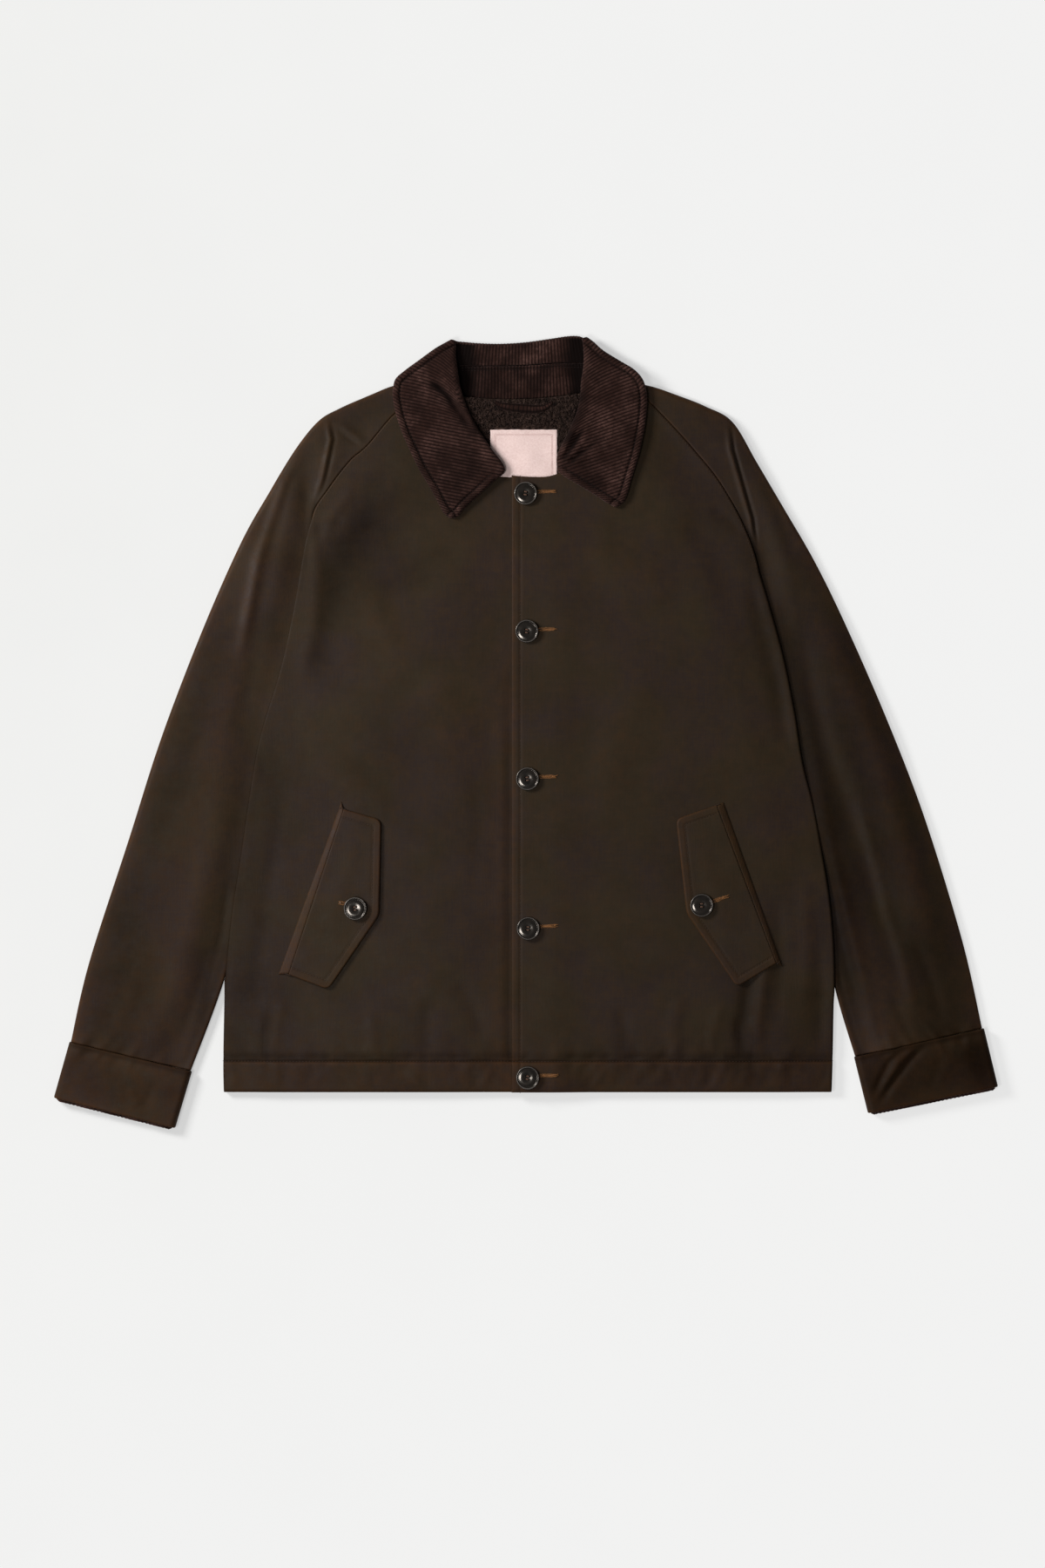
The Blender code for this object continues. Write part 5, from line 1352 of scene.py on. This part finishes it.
def buttonMesh():
    sides, profile = buttonCut["sides"], buttonCut["profile"][1:-1]
    points = [(0, 0, 0)]
    for radius, z in profile:
        turns = [math.tau * k / sides for k in range(sides)]
        points += [(radius * math.cos(turn), radius * math.sin(turn), z) for turn in turns]
    points.append((0, 0, buttonCut["profile"][-1][1]))
    faces = [(0, 1 + (k + 1) % sides, 1 + k) for k in range(sides)]
    for i in range(len(profile) - 1):
        a, b = 1 + i * sides, 1 + (i + 1) * sides
        faces += [(a + k, a + (k + 1) % sides, b + (k + 1) % sides, b + k) for k in range(sides)]
    a, last = 1 + (len(profile) - 1) * sides, len(points) - 1
    faces += [(a + k, a + (k + 1) % sides, last) for k in range(sides)]
    blank = meshObject("buttonBlank", np.array(points) * 0.001, faces, finishes["horn"])
    helpers = [blank]
    hole, n = buttonCut["hole"], buttonCut["drillSides"]
    walls = [(i, (i + 1) % n, n + (i + 1) % n, n + i) for i in range(n)]
    ends = [tuple(range(n)), tuple(range(n, 2 * n))]
    for k in range(4):
        turn = math.tau * (k + 0.5) / 4
        at = np.array((math.cos(turn), math.sin(turn))) * buttonCut["holeAt"]
        around = np.linspace(0, math.tau, n + 1)[:-1]
        ring = [(at[0] + hole * math.cos(s), at[1] + hole * math.sin(s)) for s in around]
        points = np.array([(px, py, z) for z in (-1, 6) for px, py in ring]) * 0.001
        helpers.append(meshObject(f"drill.{k}", points, [*walls, *ends], finishes["horn"]))
        cut = blank.modifiers.new(f"hole{k}", "BOOLEAN")
        cut.operation, cut.object = "DIFFERENCE", helpers[-1]
    mesh = bpy.data.meshes.new_from_object(blank.evaluated_get(bpy.context.evaluated_depsgraph_get()))
    for helper in helpers:
        bpy.data.objects.remove(helper)
    mesh.set_sharp_from_angle(angle=math.radians(58))
    # Painted highlight mask round the rim's crest
    wornAndHighlit = bell(np.array([v.co.xy.length * 1000 for v in mesh.vertices]) - 10.3, 0.45)
    mesh.attributes.new("rim", "FLOAT", "POINT").data.foreach_set("value", wornAndHighlit.astype(np.float32))
    return mesh


def tubeAlong(points, radius, sides=7):  # rings of points round a path, with its ends closed
    points = np.asarray(points, float)
    ahead = np.gradient(points, axis=0)
    ahead /= np.linalg.norm(ahead, axis=1, keepdims=True)
    side = np.cross(ahead, (0, 0, 1.0))
    size = np.linalg.norm(side, axis=1, keepdims=True)
    side = np.where(size > 1e-3, side / np.maximum(size, 1e-3), (1, 0, 0))
    up = np.cross(side, ahead)
    turn = np.linspace(0, math.tau, sides + 1)[:-1]
    out = side[:, None] * np.cos(turn)[None, :, None] + up[:, None] * np.sin(turn)[None, :, None]
    rings = points[:, None] + radius * out
    n = len(points)
    faces = [
        (i * sides + k, i * sides + (k + 1) % sides, (i + 1) * sides + (k + 1) % sides, (i + 1) * sides + k)
        for i in range(n - 1)
        for k in range(sides)
    ]
    faces += [tuple(range(sides)), tuple(range((n - 1) * sides, n * sides))]
    return rings.reshape(-1, 3), faces


def gathered(name, parts, material):  # several tubes as one object
    points, faces, count = [], [], 0
    for some, their in parts:
        points.append(some)
        faces += [tuple(v + count for v in face) for face in their]
        count += len(some)
    return meshObject(name, np.concatenate(points) * 0.001, faces, material)


def makeButton(name, node, x, y, z, tilt, mesh):
    spin = math.radians(random.Random(name).uniform(-14, 14))
    slope = [math.tan(math.radians(angle)) for angle in tilt]

    def spun(px, py):
        return px * math.cos(spin) - py * math.sin(spin), px * math.sin(spin) + py * math.cos(spin)

    form = mesh.copy()
    for vertex in form.vertices:
        co = vertex.co
        px, py = spun(co.x, co.y)
        co.x, co.y = px + x * 0.001, py + y * 0.001
        co.z += z * 0.001 + px * slope[0] + py * slope[1]
    form.shade_smooth()
    settle(placeObject(name, form), "horn", node)
    strands = []
    at = buttonCut["holeAt"] * buttonCut["square"]
    run = np.linspace(-1, 1, 11)
    arch = 2.62 + 0.55 * np.sqrt(np.clip(1 - run**4, 0, 1)) - 1.1 * (np.abs(run) > 0.95)
    for row in (-1, 1):
        for strand in (-0.36, 0.0, 0.36):
            cx, cy = spun(run * at, row * at + strand + 0 * run)
            pz = z + arch + cx * slope[0] + cy * slope[1]
            strands.append(tubeAlong(np.stack([x + cx, y + cy, pz], axis=1), 0.24))
    settle(gathered(f"{name}.thread", strands, finishes["buttonThread"]), "horn")


mesh = buttonMesh()
tilts = ((1.6, 1.4), (1.2, 1.8), (1.4, 0.2), (0.2, -1.8), (0.4, 0.8))
for i, (x, y) in enumerate(frontButtons):
    names = f"button.front{i + 1}", f"button_front_{i + 1}"
    makeButton(*names, x, y, buttonCut["rest"]["front"], tilts[i], mesh)
for side, (x, y) in flapButtons.items():
    names = f"button.flap.{side}", f"button_flap_{side}"
    makeButton(*names, x, y, buttonCut["rest"]["flap"], (0.5, -0.5), mesh)
print("buttons made")


# Rows of stitches, made by one node tree
def startTree(name, sizes, finish):  # a tree with named sizes, a seed and a finish, and what it is given
    tree = bpy.data.node_groups.new(name, "GeometryNodeTree")
    sockets = [("Geometry", "Geometry", None), *((word, "Float", size) for word, size in sizes.items())]
    for word, kind, value in [*sockets, ("seed", "Int", 1), (finish, "Material", None)]:
        socket = tree.interface.new_socket(word, in_out="INPUT", socket_type=f"NodeSocket{kind}")
        if value is not None:
            socket.default_value = value
    tree.interface.new_socket("Geometry", in_out="OUTPUT", socket_type="NodeSocketGeometry")
    return tree, addNode(tree, "NodeGroupInput").outputs


def endTree(tree, placed, finish):
    real = addNode(tree, "GeometryNodeRealizeInstances", at0=placed.outputs[0])
    coloured = addNode(tree, "GeometryNodeSetMaterial", Geometry=real.outputs[0], Material=finish)
    addNode(tree, "NodeGroupOutput", at0=coloured.outputs[0])
    return tree


def stitchTree():
    sizes = {"stitch length": 0.0021, "stitch pitch": 0.0030, "thread": 0.0006, "slant": 0.0}
    tree, given = startTree("stitchRow", sizes, "thread colour")
    line = addNode(tree, "GeometryNodeMeshToCurve", Mesh=given["Geometry"]).outputs[0]
    pitch = given["stitch pitch"]
    even = addNode(tree, "GeometryNodeResampleCurve", {"mode": "LENGTH"}, Curve=line, Length=pitch).outputs[0]
    stitch = addNode(tree, "GeometryNodeMeshUVSphere", Segments=6, Rings=4, Radius=0.5).outputs["Mesh"]
    thick = {"at1": given["thread"], "at2": given["thread"]}
    shape = addNode(tree, "ShaderNodeCombineXYZ", at0=given["stitch length"], **thick).outputs[0]
    sized = addNode(tree, "GeometryNodeTransform", Geometry=stitch, Scale=shape).outputs[0]
    ahead = addNode(tree, "GeometryNodeInputTangent").outputs[0]
    turn = addNode(tree, "FunctionNodeAlignRotationToVector", {"axis": "X"}, Vector=ahead).outputs[0]
    jitter = addNode(tree, "FunctionNodeRandomValue", at2=-0.07, at3=0.07, Seed=given["seed"]).outputs[1]
    angle = mathNode(tree, "ADD", given["slant"], jitter)
    about = addNode(tree, "FunctionNodeAxisAngleToRotation", Axis=(0, 0, 1), Angle=angle).outputs[0]
    local = {"rotation_space": "LOCAL"}
    lean = addNode(tree, "FunctionNodeRotateRotation", local, Rotation=turn, Rotate_By=about).outputs[0]
    placed = addNode(tree, "GeometryNodeInstanceOnPoints", Points=even, Instance=sized, Rotation=lean)
    return endTree(tree, placed, given["thread colour"])


def growOn(base, tree, values, name):  # runs a node tree on a base object and keeps the plain mesh
    modifier = base.modifiers.new("grow", "NODES")
    modifier.node_group = tree
    for item in tree.interface.items_tree:
        if item.item_type == "SOCKET" and item.in_out == "INPUT" and item.name in values:
            modifier[item.identifier] = values[item.name]
    bpy.context.view_layer.update()
    mesh = bpy.data.meshes.new_from_object(base.evaluated_get(bpy.context.evaluated_depsgraph_get()))
    bpy.data.objects.remove(base)
    mesh.shade_smooth()
    return placeObject(name, mesh)


def wireFrom(name, lines):  # bare lines of points in millimetres
    points, edges = [], []
    for line in lines:
        edges += [(len(points) + k, len(points) + k + 1) for k in range(len(line) - 1)]
        points += [tuple(np.array(p) * 0.001) for p in line]
    mesh = bpy.data.meshes.new(name)
    mesh.from_pydata(points, edges, [])
    return placeObject(name, mesh)


stitches = stitchTree()
stitchSizes = {  # how long each stitch is, from one to the next, and how thick, in millimetres
    "hemStitch": (2.2, 3.1, 0.65),
    "placketStitch": (2.2, 3.1, 0.65),
    "raglanStitch": (2.2, 3.0, 0.5),
    "collarStitch": (2.2, 3.0, 0.6),
    "standStitch": (2.2, 3.0, 0.55),
    "labelStitch": (1.3, 1.2, 0.3),
    "flapStitch": (2.1, 2.9, 0.6),
    "flapTack": (1.8, 0.7, 0.5),
    "buttonhole": (2.1, 0.72, 0.42),
}


def sew(name, slotName, lines, seed, slant=0.0, colour="brownThread"):
    length, pitch, thread = stitchSizes[name.split(".")[0]]
    values = {
        "stitch length": length * 0.001,
        "stitch pitch": pitch * 0.001,
        "thread": thread * 0.001,
        "slant": slant,
        "seed": seed,
        "thread colour": finishes[colour],
    }
    settle(growOn(wireFrom(name, lines), stitches, values, name), slotName)


def hemLine(side):  # the stitches that hold the hem's turn-up
    x, y = frontGrid(side)[:2]
    row = int(np.argmin(np.abs(y[:, 0] - hemY - frontCut["hemDepth"])))
    keep = x[row] < -14 if side == "right" else x[row] > -12
    return np.stack([x[row][keep], y[row][keep]], axis=1)


def centreLine(inside):  # the stitches beside the upper front's edge
    x, y, _, fromCentre = frontGrid("left")[:4]
    column = int(np.argmin(np.abs(fromCentre[5] - inside)))
    return np.stack([x[1:, column], y[1:, column]], axis=1)


for side in bothSides:
    line = dropOnto(hemLine(side), frontHeight[side], 0.05)
    sew(f"hemStitch.{side}", "shell", [line], 4)
line = dropOnto(centreLine(frontCut["stitchIn"]), frontHeight["left"], 0.05)
sew("placketStitch", "shell", [line], 5)


def raglanLine(side):  # the stitches beside the sleeve's seam
    x, y, _, _, _, sewn = frontGrid(side)
    keep = sewn[:, 0] > 0.5
    return np.stack([x[keep, 4], y[keep, 4]], axis=1)


def leafBorder(side):  # the stitch lines inside a leaf's free edges, meeting above its tip
    own, far = leafEdges(side)
    lines = []
    for edge, other in ((far[far[:, 1] < 366], own), (own, far)):
        ahead = np.gradient(edge, axis=0)
        normal = np.stack([-ahead[:, 1], ahead[:, 0]], axis=1) / np.linalg.norm(ahead, axis=1, keepdims=True)
        towards = (edge.mean(axis=0) + other.mean(axis=0)) / 2 - edge.mean(axis=0)
        normal *= np.sign(towards @ normal.mean(axis=0))
        line = edge + normal * leafCut["border"]
        lines.append(line[pathDistance(*line.T, other)[0] > leafCut["border"] - 0.2])
    return lines


for side in bothSides:
    line = dropOnto(raglanLine(side), frontHeight[side])
    sew(f"raglanStitch.{side}", "shell", [line], 8)
    lines = [dropOnto(line, surfaceUnder(leaves[side])) for line in leafBorder(side)]
    sew(f"collarStitch.{side}", "corduroy", lines, 9, colour="darkThread")
standSeam = [(x, float(np.interp(x * 0.96, *np.array(fallRows)[:, :2].T))) for x in np.linspace(-66, 60, 60)]
rows = []
for inset in (1.6, 3.9):
    rows.append(dropOnto([(x, y - 0.5 - inset) for x, y in standSeam], surfaceUnder(standBack)))
sew("standStitch", "corduroy", rows, 10, colour="darkThread")
rows = []
for inset in (4.2, 5.3):
    left, right = labelCut["x"][0] + inset, labelCut["x"][1] - inset
    top = labelCut["top"] - inset
    path = [(left, 250), (left, top), (right, top), (right, 248)]
    rows.append(dropOnto(path, surfaceUnder(label), 0.0, 1.0))
sew("labelStitch", "label", rows, 11, colour="labelThread")


def flapLines(side):  # the row inside a flap's free edges, and the tacks at both ends of its seam
    corners = np.array(flapCorners[side])
    middle, first, last = corners.mean(axis=0), corners[0], corners[-1]
    moved = []
    for p, q in zip(corners, corners[1:]):
        way = (q - p) / np.linalg.norm(q - p)
        normal = np.array((-way[1], way[0]))
        normal *= np.sign((middle - p) @ normal)
        moved.append((p + normal * flapCut["stitchIn"], way))
    path = [moved[0][0] + moved[0][1] * 3.5]
    for (p, way), (q, other) in zip(moved, moved[1:]):
        t = np.linalg.solve(np.stack([way, -other], axis=1), q - p)[0]
        path.append(p + way * t)
    p, way = moved[-1]
    path.append(p + way * (np.linalg.norm(last - p) - 3.5))
    tacks = []
    for corner, other in ((first, last), (last, first)):
        way = (other - corner) / np.linalg.norm(other - corner)
        out = np.array((-way[1], way[0]))
        out *= -np.sign((middle - corner) @ out)
        tacks.append([(*(corner + out * t), flapCut["base"] + 1.7) for t in (-1.5, 1.0, 3.5)])
    return path, tacks


for side in bothSides:
    path, tacks = flapLines(side)
    sew(f"flapStitch.{side}", "shell", [dropOnto(path, surfaceUnder(flaps[side]), 0.05)], 6)
    sew(f"flapTack.{side}", "shell", tacks, 7, slant=1.35)
print("stitches made")


# Buttonholes, whipped round a slit
holeCut = {
    "start": (4, 1.6),
    "end": (27.0, 2.2),
    "spread": 0.6,  # each hole down the front is this much longer
    "right": ((-178.6, -164.2), (-158, -167.5)),
    "left": ((174, -165.5), (193.0, -158.4)),
}


def makeButtonhole(name, start, end, heightAt, seed):
    maker = random.Random(seed)
    start, end = np.array(start, float), np.array(end, float)
    way = (end - start) / np.linalg.norm(end - start)
    normal = np.array((-way[1], way[0]))
    rows = []
    for offset in (1.0, -1.0):
        bent = [start + normal * offset]
        for t in (0.3, 0.6, 0.85):
            bent.append(start + (end - start) * t + normal * offset * maker.uniform(0.75, 1.25))
        rows.append(dropOnto([*bent, end + normal * offset * 0.5], heightAt, 0.2, 1.2))
    sew(f"{name}.whip", "shell", rows, seed, slant=1.2, colour="tanThread")
    loose = []
    for _ in range(7):
        first = start + (end - start) * maker.uniform(0.35, 0.95)
        last = end + way * maker.uniform(0.3, 3.4) + normal * maker.uniform(-1.7, 1.9)
        middle = (first + last) / 2 + normal * maker.uniform(-0.7, 0.7)
        line = dropOnto([first, middle, last], heightAt, maker.uniform(0.35, 0.9), 0.8)
        loose.append(tubeAlong(line, maker.uniform(0.13, 0.24), 5))
    settle(gathered(f"{name}.end", loose, finishes["tanThread"]), "shell")
    # A dark tube along the slit paints the shade in its opening
    slit = dropOnto([start, end], heightAt, 0.02, 1.5)
    settle(gathered(f"{name}.slit", [tubeAlong(slit, 0.35, 6)], finishes["horn"]), "shell")


for i, (x, y) in enumerate(frontButtons):
    first = (x + holeCut["start"][0], y + holeCut["start"][1])
    last = (holeCut["end"][0] + holeCut["spread"] * i, y + holeCut["end"][1])
    makeButtonhole(f"buttonhole.front{i + 1}", first, last, frontHeight["left"], 60 + i)
for side in bothSides:
    makeButtonhole(f"buttonhole.flap.{side}", *holeCut[side], surfaceUnder(flaps[side]), 80 + len(side))
print("buttonholes made")


# Curls of the pile lining
def curlTree():
    sizes = {"curl size": 0.002, "strand": 0.0004, "curls a square metre": 300000.0}
    tree, given = startTree("pileCurls", sizes, "pile")
    seed = given["seed"]
    crowd = {"Mesh": given["Geometry"], "Density": given["curls a square metre"], "Seed": seed}
    spread = addNode(tree, "GeometryNodeDistributePointsOnFaces", **crowd).outputs["Points"]
    coil = {"Resolution": 5, "Rotations": 1.1, "Start_Radius": 0.5, "End_Radius": 0.25, "Height": 0.45}
    spiral = addNode(tree, "GeometryNodeCurveSpiral", **coil).outputs[0]
    sized = addNode(tree, "GeometryNodeTransform", Geometry=spiral, Scale=given["curl size"]).outputs[0]
    ring = addNode(tree, "GeometryNodeCurvePrimitiveCircle", Resolution=3, Radius=given["strand"]).outputs[0]
    sweep = {"Curve": sized, "Profile_Curve": ring, "Fill_Caps": True}
    swept = addNode(tree, "GeometryNodeCurveToMesh", **sweep).outputs[0]
    turns = {"at0": (-0.9, -0.9, 0), "at1": (0.9, 0.9, math.tau), "Seed": seed}
    turn = addNode(tree, "FunctionNodeRandomValue", {"data_type": "FLOAT_VECTOR"}, **turns).outputs[0]
    size = addNode(tree, "FunctionNodeRandomValue", at2=0.6, at3=1.25, Seed=seed).outputs[1]
    curls = {"Points": spread, "Instance": swept, "Rotation": turn, "Scale": size}
    placed = addNode(tree, "GeometryNodeInstanceOnPoints", **curls)
    return endTree(tree, placed, given["pile"])


def makeCurls():
    n, m = 30, 46
    sides = curveAt(liningSides, np.linspace(0, 4, n))
    x = sides[:, 1:2] + 0.6 + (sides[:, 2:3] - sides[:, 1:2] - 1.2) * np.linspace(0, 1, m)
    y = blendTo(backNeck(x) - 1.2, frontNeck(x) + 1.5, downNeck(sides[:, :1]))
    points = stacked(x, y, liningTop(x, y) + 0.2).reshape(-1, 3) * 0.001
    bare = (x > labelCut["x"][0] - 0.6) & (x < labelCut["x"][1] + 0.6) & (y < labelCut["top"] + 0.4)
    cells = [(i, j) for i in range(n - 1) for j in range(m - 1) if not bare[i : i + 2, j : j + 2].any()]
    faces = [(i * m + j, i * m + j + 1, (i + 1) * m + j + 1, (i + 1) * m + j) for i, j in cells]
    base = meshObject("curlBase", points, faces, finishes["fleece"])
    values = {
        "curl size": liningLook["curl"],
        "strand": liningLook["thread"],
        "curls a square metre": liningLook["crowd"],
        "seed": liningLook["seed"],
        "pile": finishes["fleece"],
    }
    settle(growOn(base, curlTree(), values, "pileCurls"), "pile")


makeCurls()
print("pile made")


# The cloth pieces as they were cut
frontWords = ("hemStitch", "raglanStitch", "pocketWelt")
frontSewing = {side: [f"{word}.{side}" for word in frontWords] for side in bothSides}
frontSewing["left"].append("placketStitch")
flapSewing = {side: [f"flapStitch.{side}", f"flapTack.{side}"] for side in bothSides}
sheetPlan = {  # width and length, area if not a rectangle, what each lies on, what is sewn to it
    "backPanel": ((0.60, 0.74), 0.345, ["floor"], []),
    "sleevePanel.right": ((0.265, 0.71), 0.136, ["backPanel"], []),
    "sleevePanel.left": ((0.265, 0.71), 0.1235, ["backPanel"], []),
    "frontPanel.right": ((0.330, 0.690), 0.172, ["backPanel"], frontSewing["right"]),
    "frontPanel.left": ((0.335, 0.690), 0.172, ["backPanel"], frontSewing["left"]),
    "cuffBand.right": ((0.245, 0.058), None, ["floor"], []),
    "cuffBand.left": ((0.245, 0.058), None, ["floor"], []),
    "cuffFacing.right": ((0.235, 0.045), None, ["cuffBand.right"], []),
    "cuffFacing.left": ((0.235, 0.045), None, ["cuffBand.left"], []),
    "collarLeaf.right": ((0.105, 0.200), 0.0123, ["frontPanel.right"], ["collarStitch.right"]),
    "collarLeaf.left": ((0.105, 0.200), 0.0111, ["frontPanel.left"], ["collarStitch.left"]),
    "collarFall": ((0.235, 0.105), 0.0175, ["floor"], []),
    "standBack": ((0.140, 0.034), None, ["backPanel", "collarFall"], ["standStitch"]),
    "standFront.right": ((0.080, 0.034), 0.0020, ["frontPanel.right"], []),
    "standFront.left": ((0.080, 0.034), 0.0020, ["frontPanel.left"], []),
    "neckLining": ((0.115, 0.080), 0.0072, ["backPanel"], ["pileCurls"]),
    "neckLabel": ((0.064, 0.046), None, ["neckLining"], ["labelStitch"]),
    "pocketFlap.right": ((0.062, 0.182), 0.0082, ["frontPanel.right"], flapSewing["right"]),
    "pocketFlap.left": ((0.062, 0.182), 0.0082, ["frontPanel.left"], flapSewing["left"]),
}
for name, (flat, area, under, sewn) in sheetPlan.items():
    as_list(under)
    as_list(sewn)
print("sheets declared:", len(sheetPlan))


# The floor, the lights and the camera
paperLook = {"pale": 0.37, "even": 0.885, "reach": 6.0, "down": -0.0006}
studioGlow = 0.15
viewPlan = {"at": (-0.0025, -0.0504, 3.0), "sensor": 36.0, "tall": 1.512}
lightPlan = {
    "key": {"at": (-1.35, 0.6, 1.0), "size": 0.5, "power": 33.0},
    "over": {"at": (-0.9, -0.55, 2.4), "size": 0.6, "power": 24.0},
}


def lampReach(tree, place, plan):  # how strongly one lamp lights the paper at a place
    at = Vector(plan["at"])
    away = addNode(tree, "ShaderNodeVectorMath", {"operation": "SUBTRACT"}, at0=place, at1=at).outputs[0]
    far = addNode(tree, "ShaderNodeVectorMath", {"operation": "LENGTH"}, at0=away).outputs["Value"]
    ahead = {"at0": away, "at1": -at.normalized()}
    facing = addNode(tree, "ShaderNodeVectorMath", {"operation": "DOT_PRODUCT"}, **ahead)
    full = mathNode(tree, "MULTIPLY", facing.outputs["Value"], plan["power"] * at.z / math.pi**2)
    return mathNode(tree, "DIVIDE", full, mathNode(tree, "POWER", far, 4.0))


def makeFloor():
    size, down = paperLook["reach"], paperLook["down"]
    corners = [(x * size, y * size, down) for x, y in ((-1, -1), (1, -1), (1, 1), (-1, 1))]
    mesh = bpy.data.meshes.new("floor")
    mesh.from_pydata(corners, [], [(0, 1, 2, 3)])
    material, tree, shader, place = newMaterial("paper")
    light = studioGlow
    for plan in lightPlan.values():
        light = mathNode(tree, "ADD", lampReach(tree, place, plan), light)
    pale = mathNode(tree, "MINIMUM", mathNode(tree, "DIVIDE", paperLook["even"], light), paperLook["pale"])
    grain = ramp(tree, noiseNode(tree, place, 6.0), 0.3, 0.7, 1.0, 1.02)
    colour = mixColours(tree, mathNode(tree, "MULTIPLY", pale, grain), (0.0, 0.0, 0.0), (1.0, 1.0, 0.98))
    glow = mathNode(tree, "SUBTRACT", paperLook["even"], mathNode(tree, "MULTIPLY", light, pale))
    setInputs(tree, shader, Base_Color=colour, Roughness=0.9, Specular_IOR_Level=0.0)
    setInputs(tree, shader, Emission_Color=(1.0, 1.0, 1.0, 1.0), Emission_Strength=glow)
    mesh.materials.append(material)
    floor = placeObject("floor", mesh)


def makeLights():
    for name, plan in lightPlan.items():
        lamp = bpy.data.lights.new(name, "AREA")
        lamp.size, lamp.energy = plan["size"], plan["power"]
        thing = placeObject(name, lamp)
        thing.location = plan["at"]
        thing.rotation_euler = (-Vector(plan["at"])).to_track_quat("-Z", "Y").to_euler()
    world = bpy.data.worlds.new("studio")
    world.use_nodes = True
    tree = world.node_tree
    setInputs(tree, tree.nodes["Background"], Color=(1.0, 1.0, 1.0, 1.0), Strength=studioGlow)
    scene = bpy.context.scene
    scene.world = world
    scene.view_settings.view_transform, scene.view_settings.look = "Standard", "None"


def makeCamera():
    lens = bpy.data.cameras.new("camera")
    lens.sensor_fit, lens.sensor_width, lens.sensor_height = "AUTO", viewPlan["sensor"], viewPlan["sensor"]
    lens.lens = viewPlan["sensor"] * viewPlan["at"][2] / viewPlan["tall"]
    camera = placeObject("camera", lens)
    camera.location = viewPlan["at"]
    bpy.context.scene.camera = camera


makeFloor()
makeLights()
makeCamera()
print("stage made")
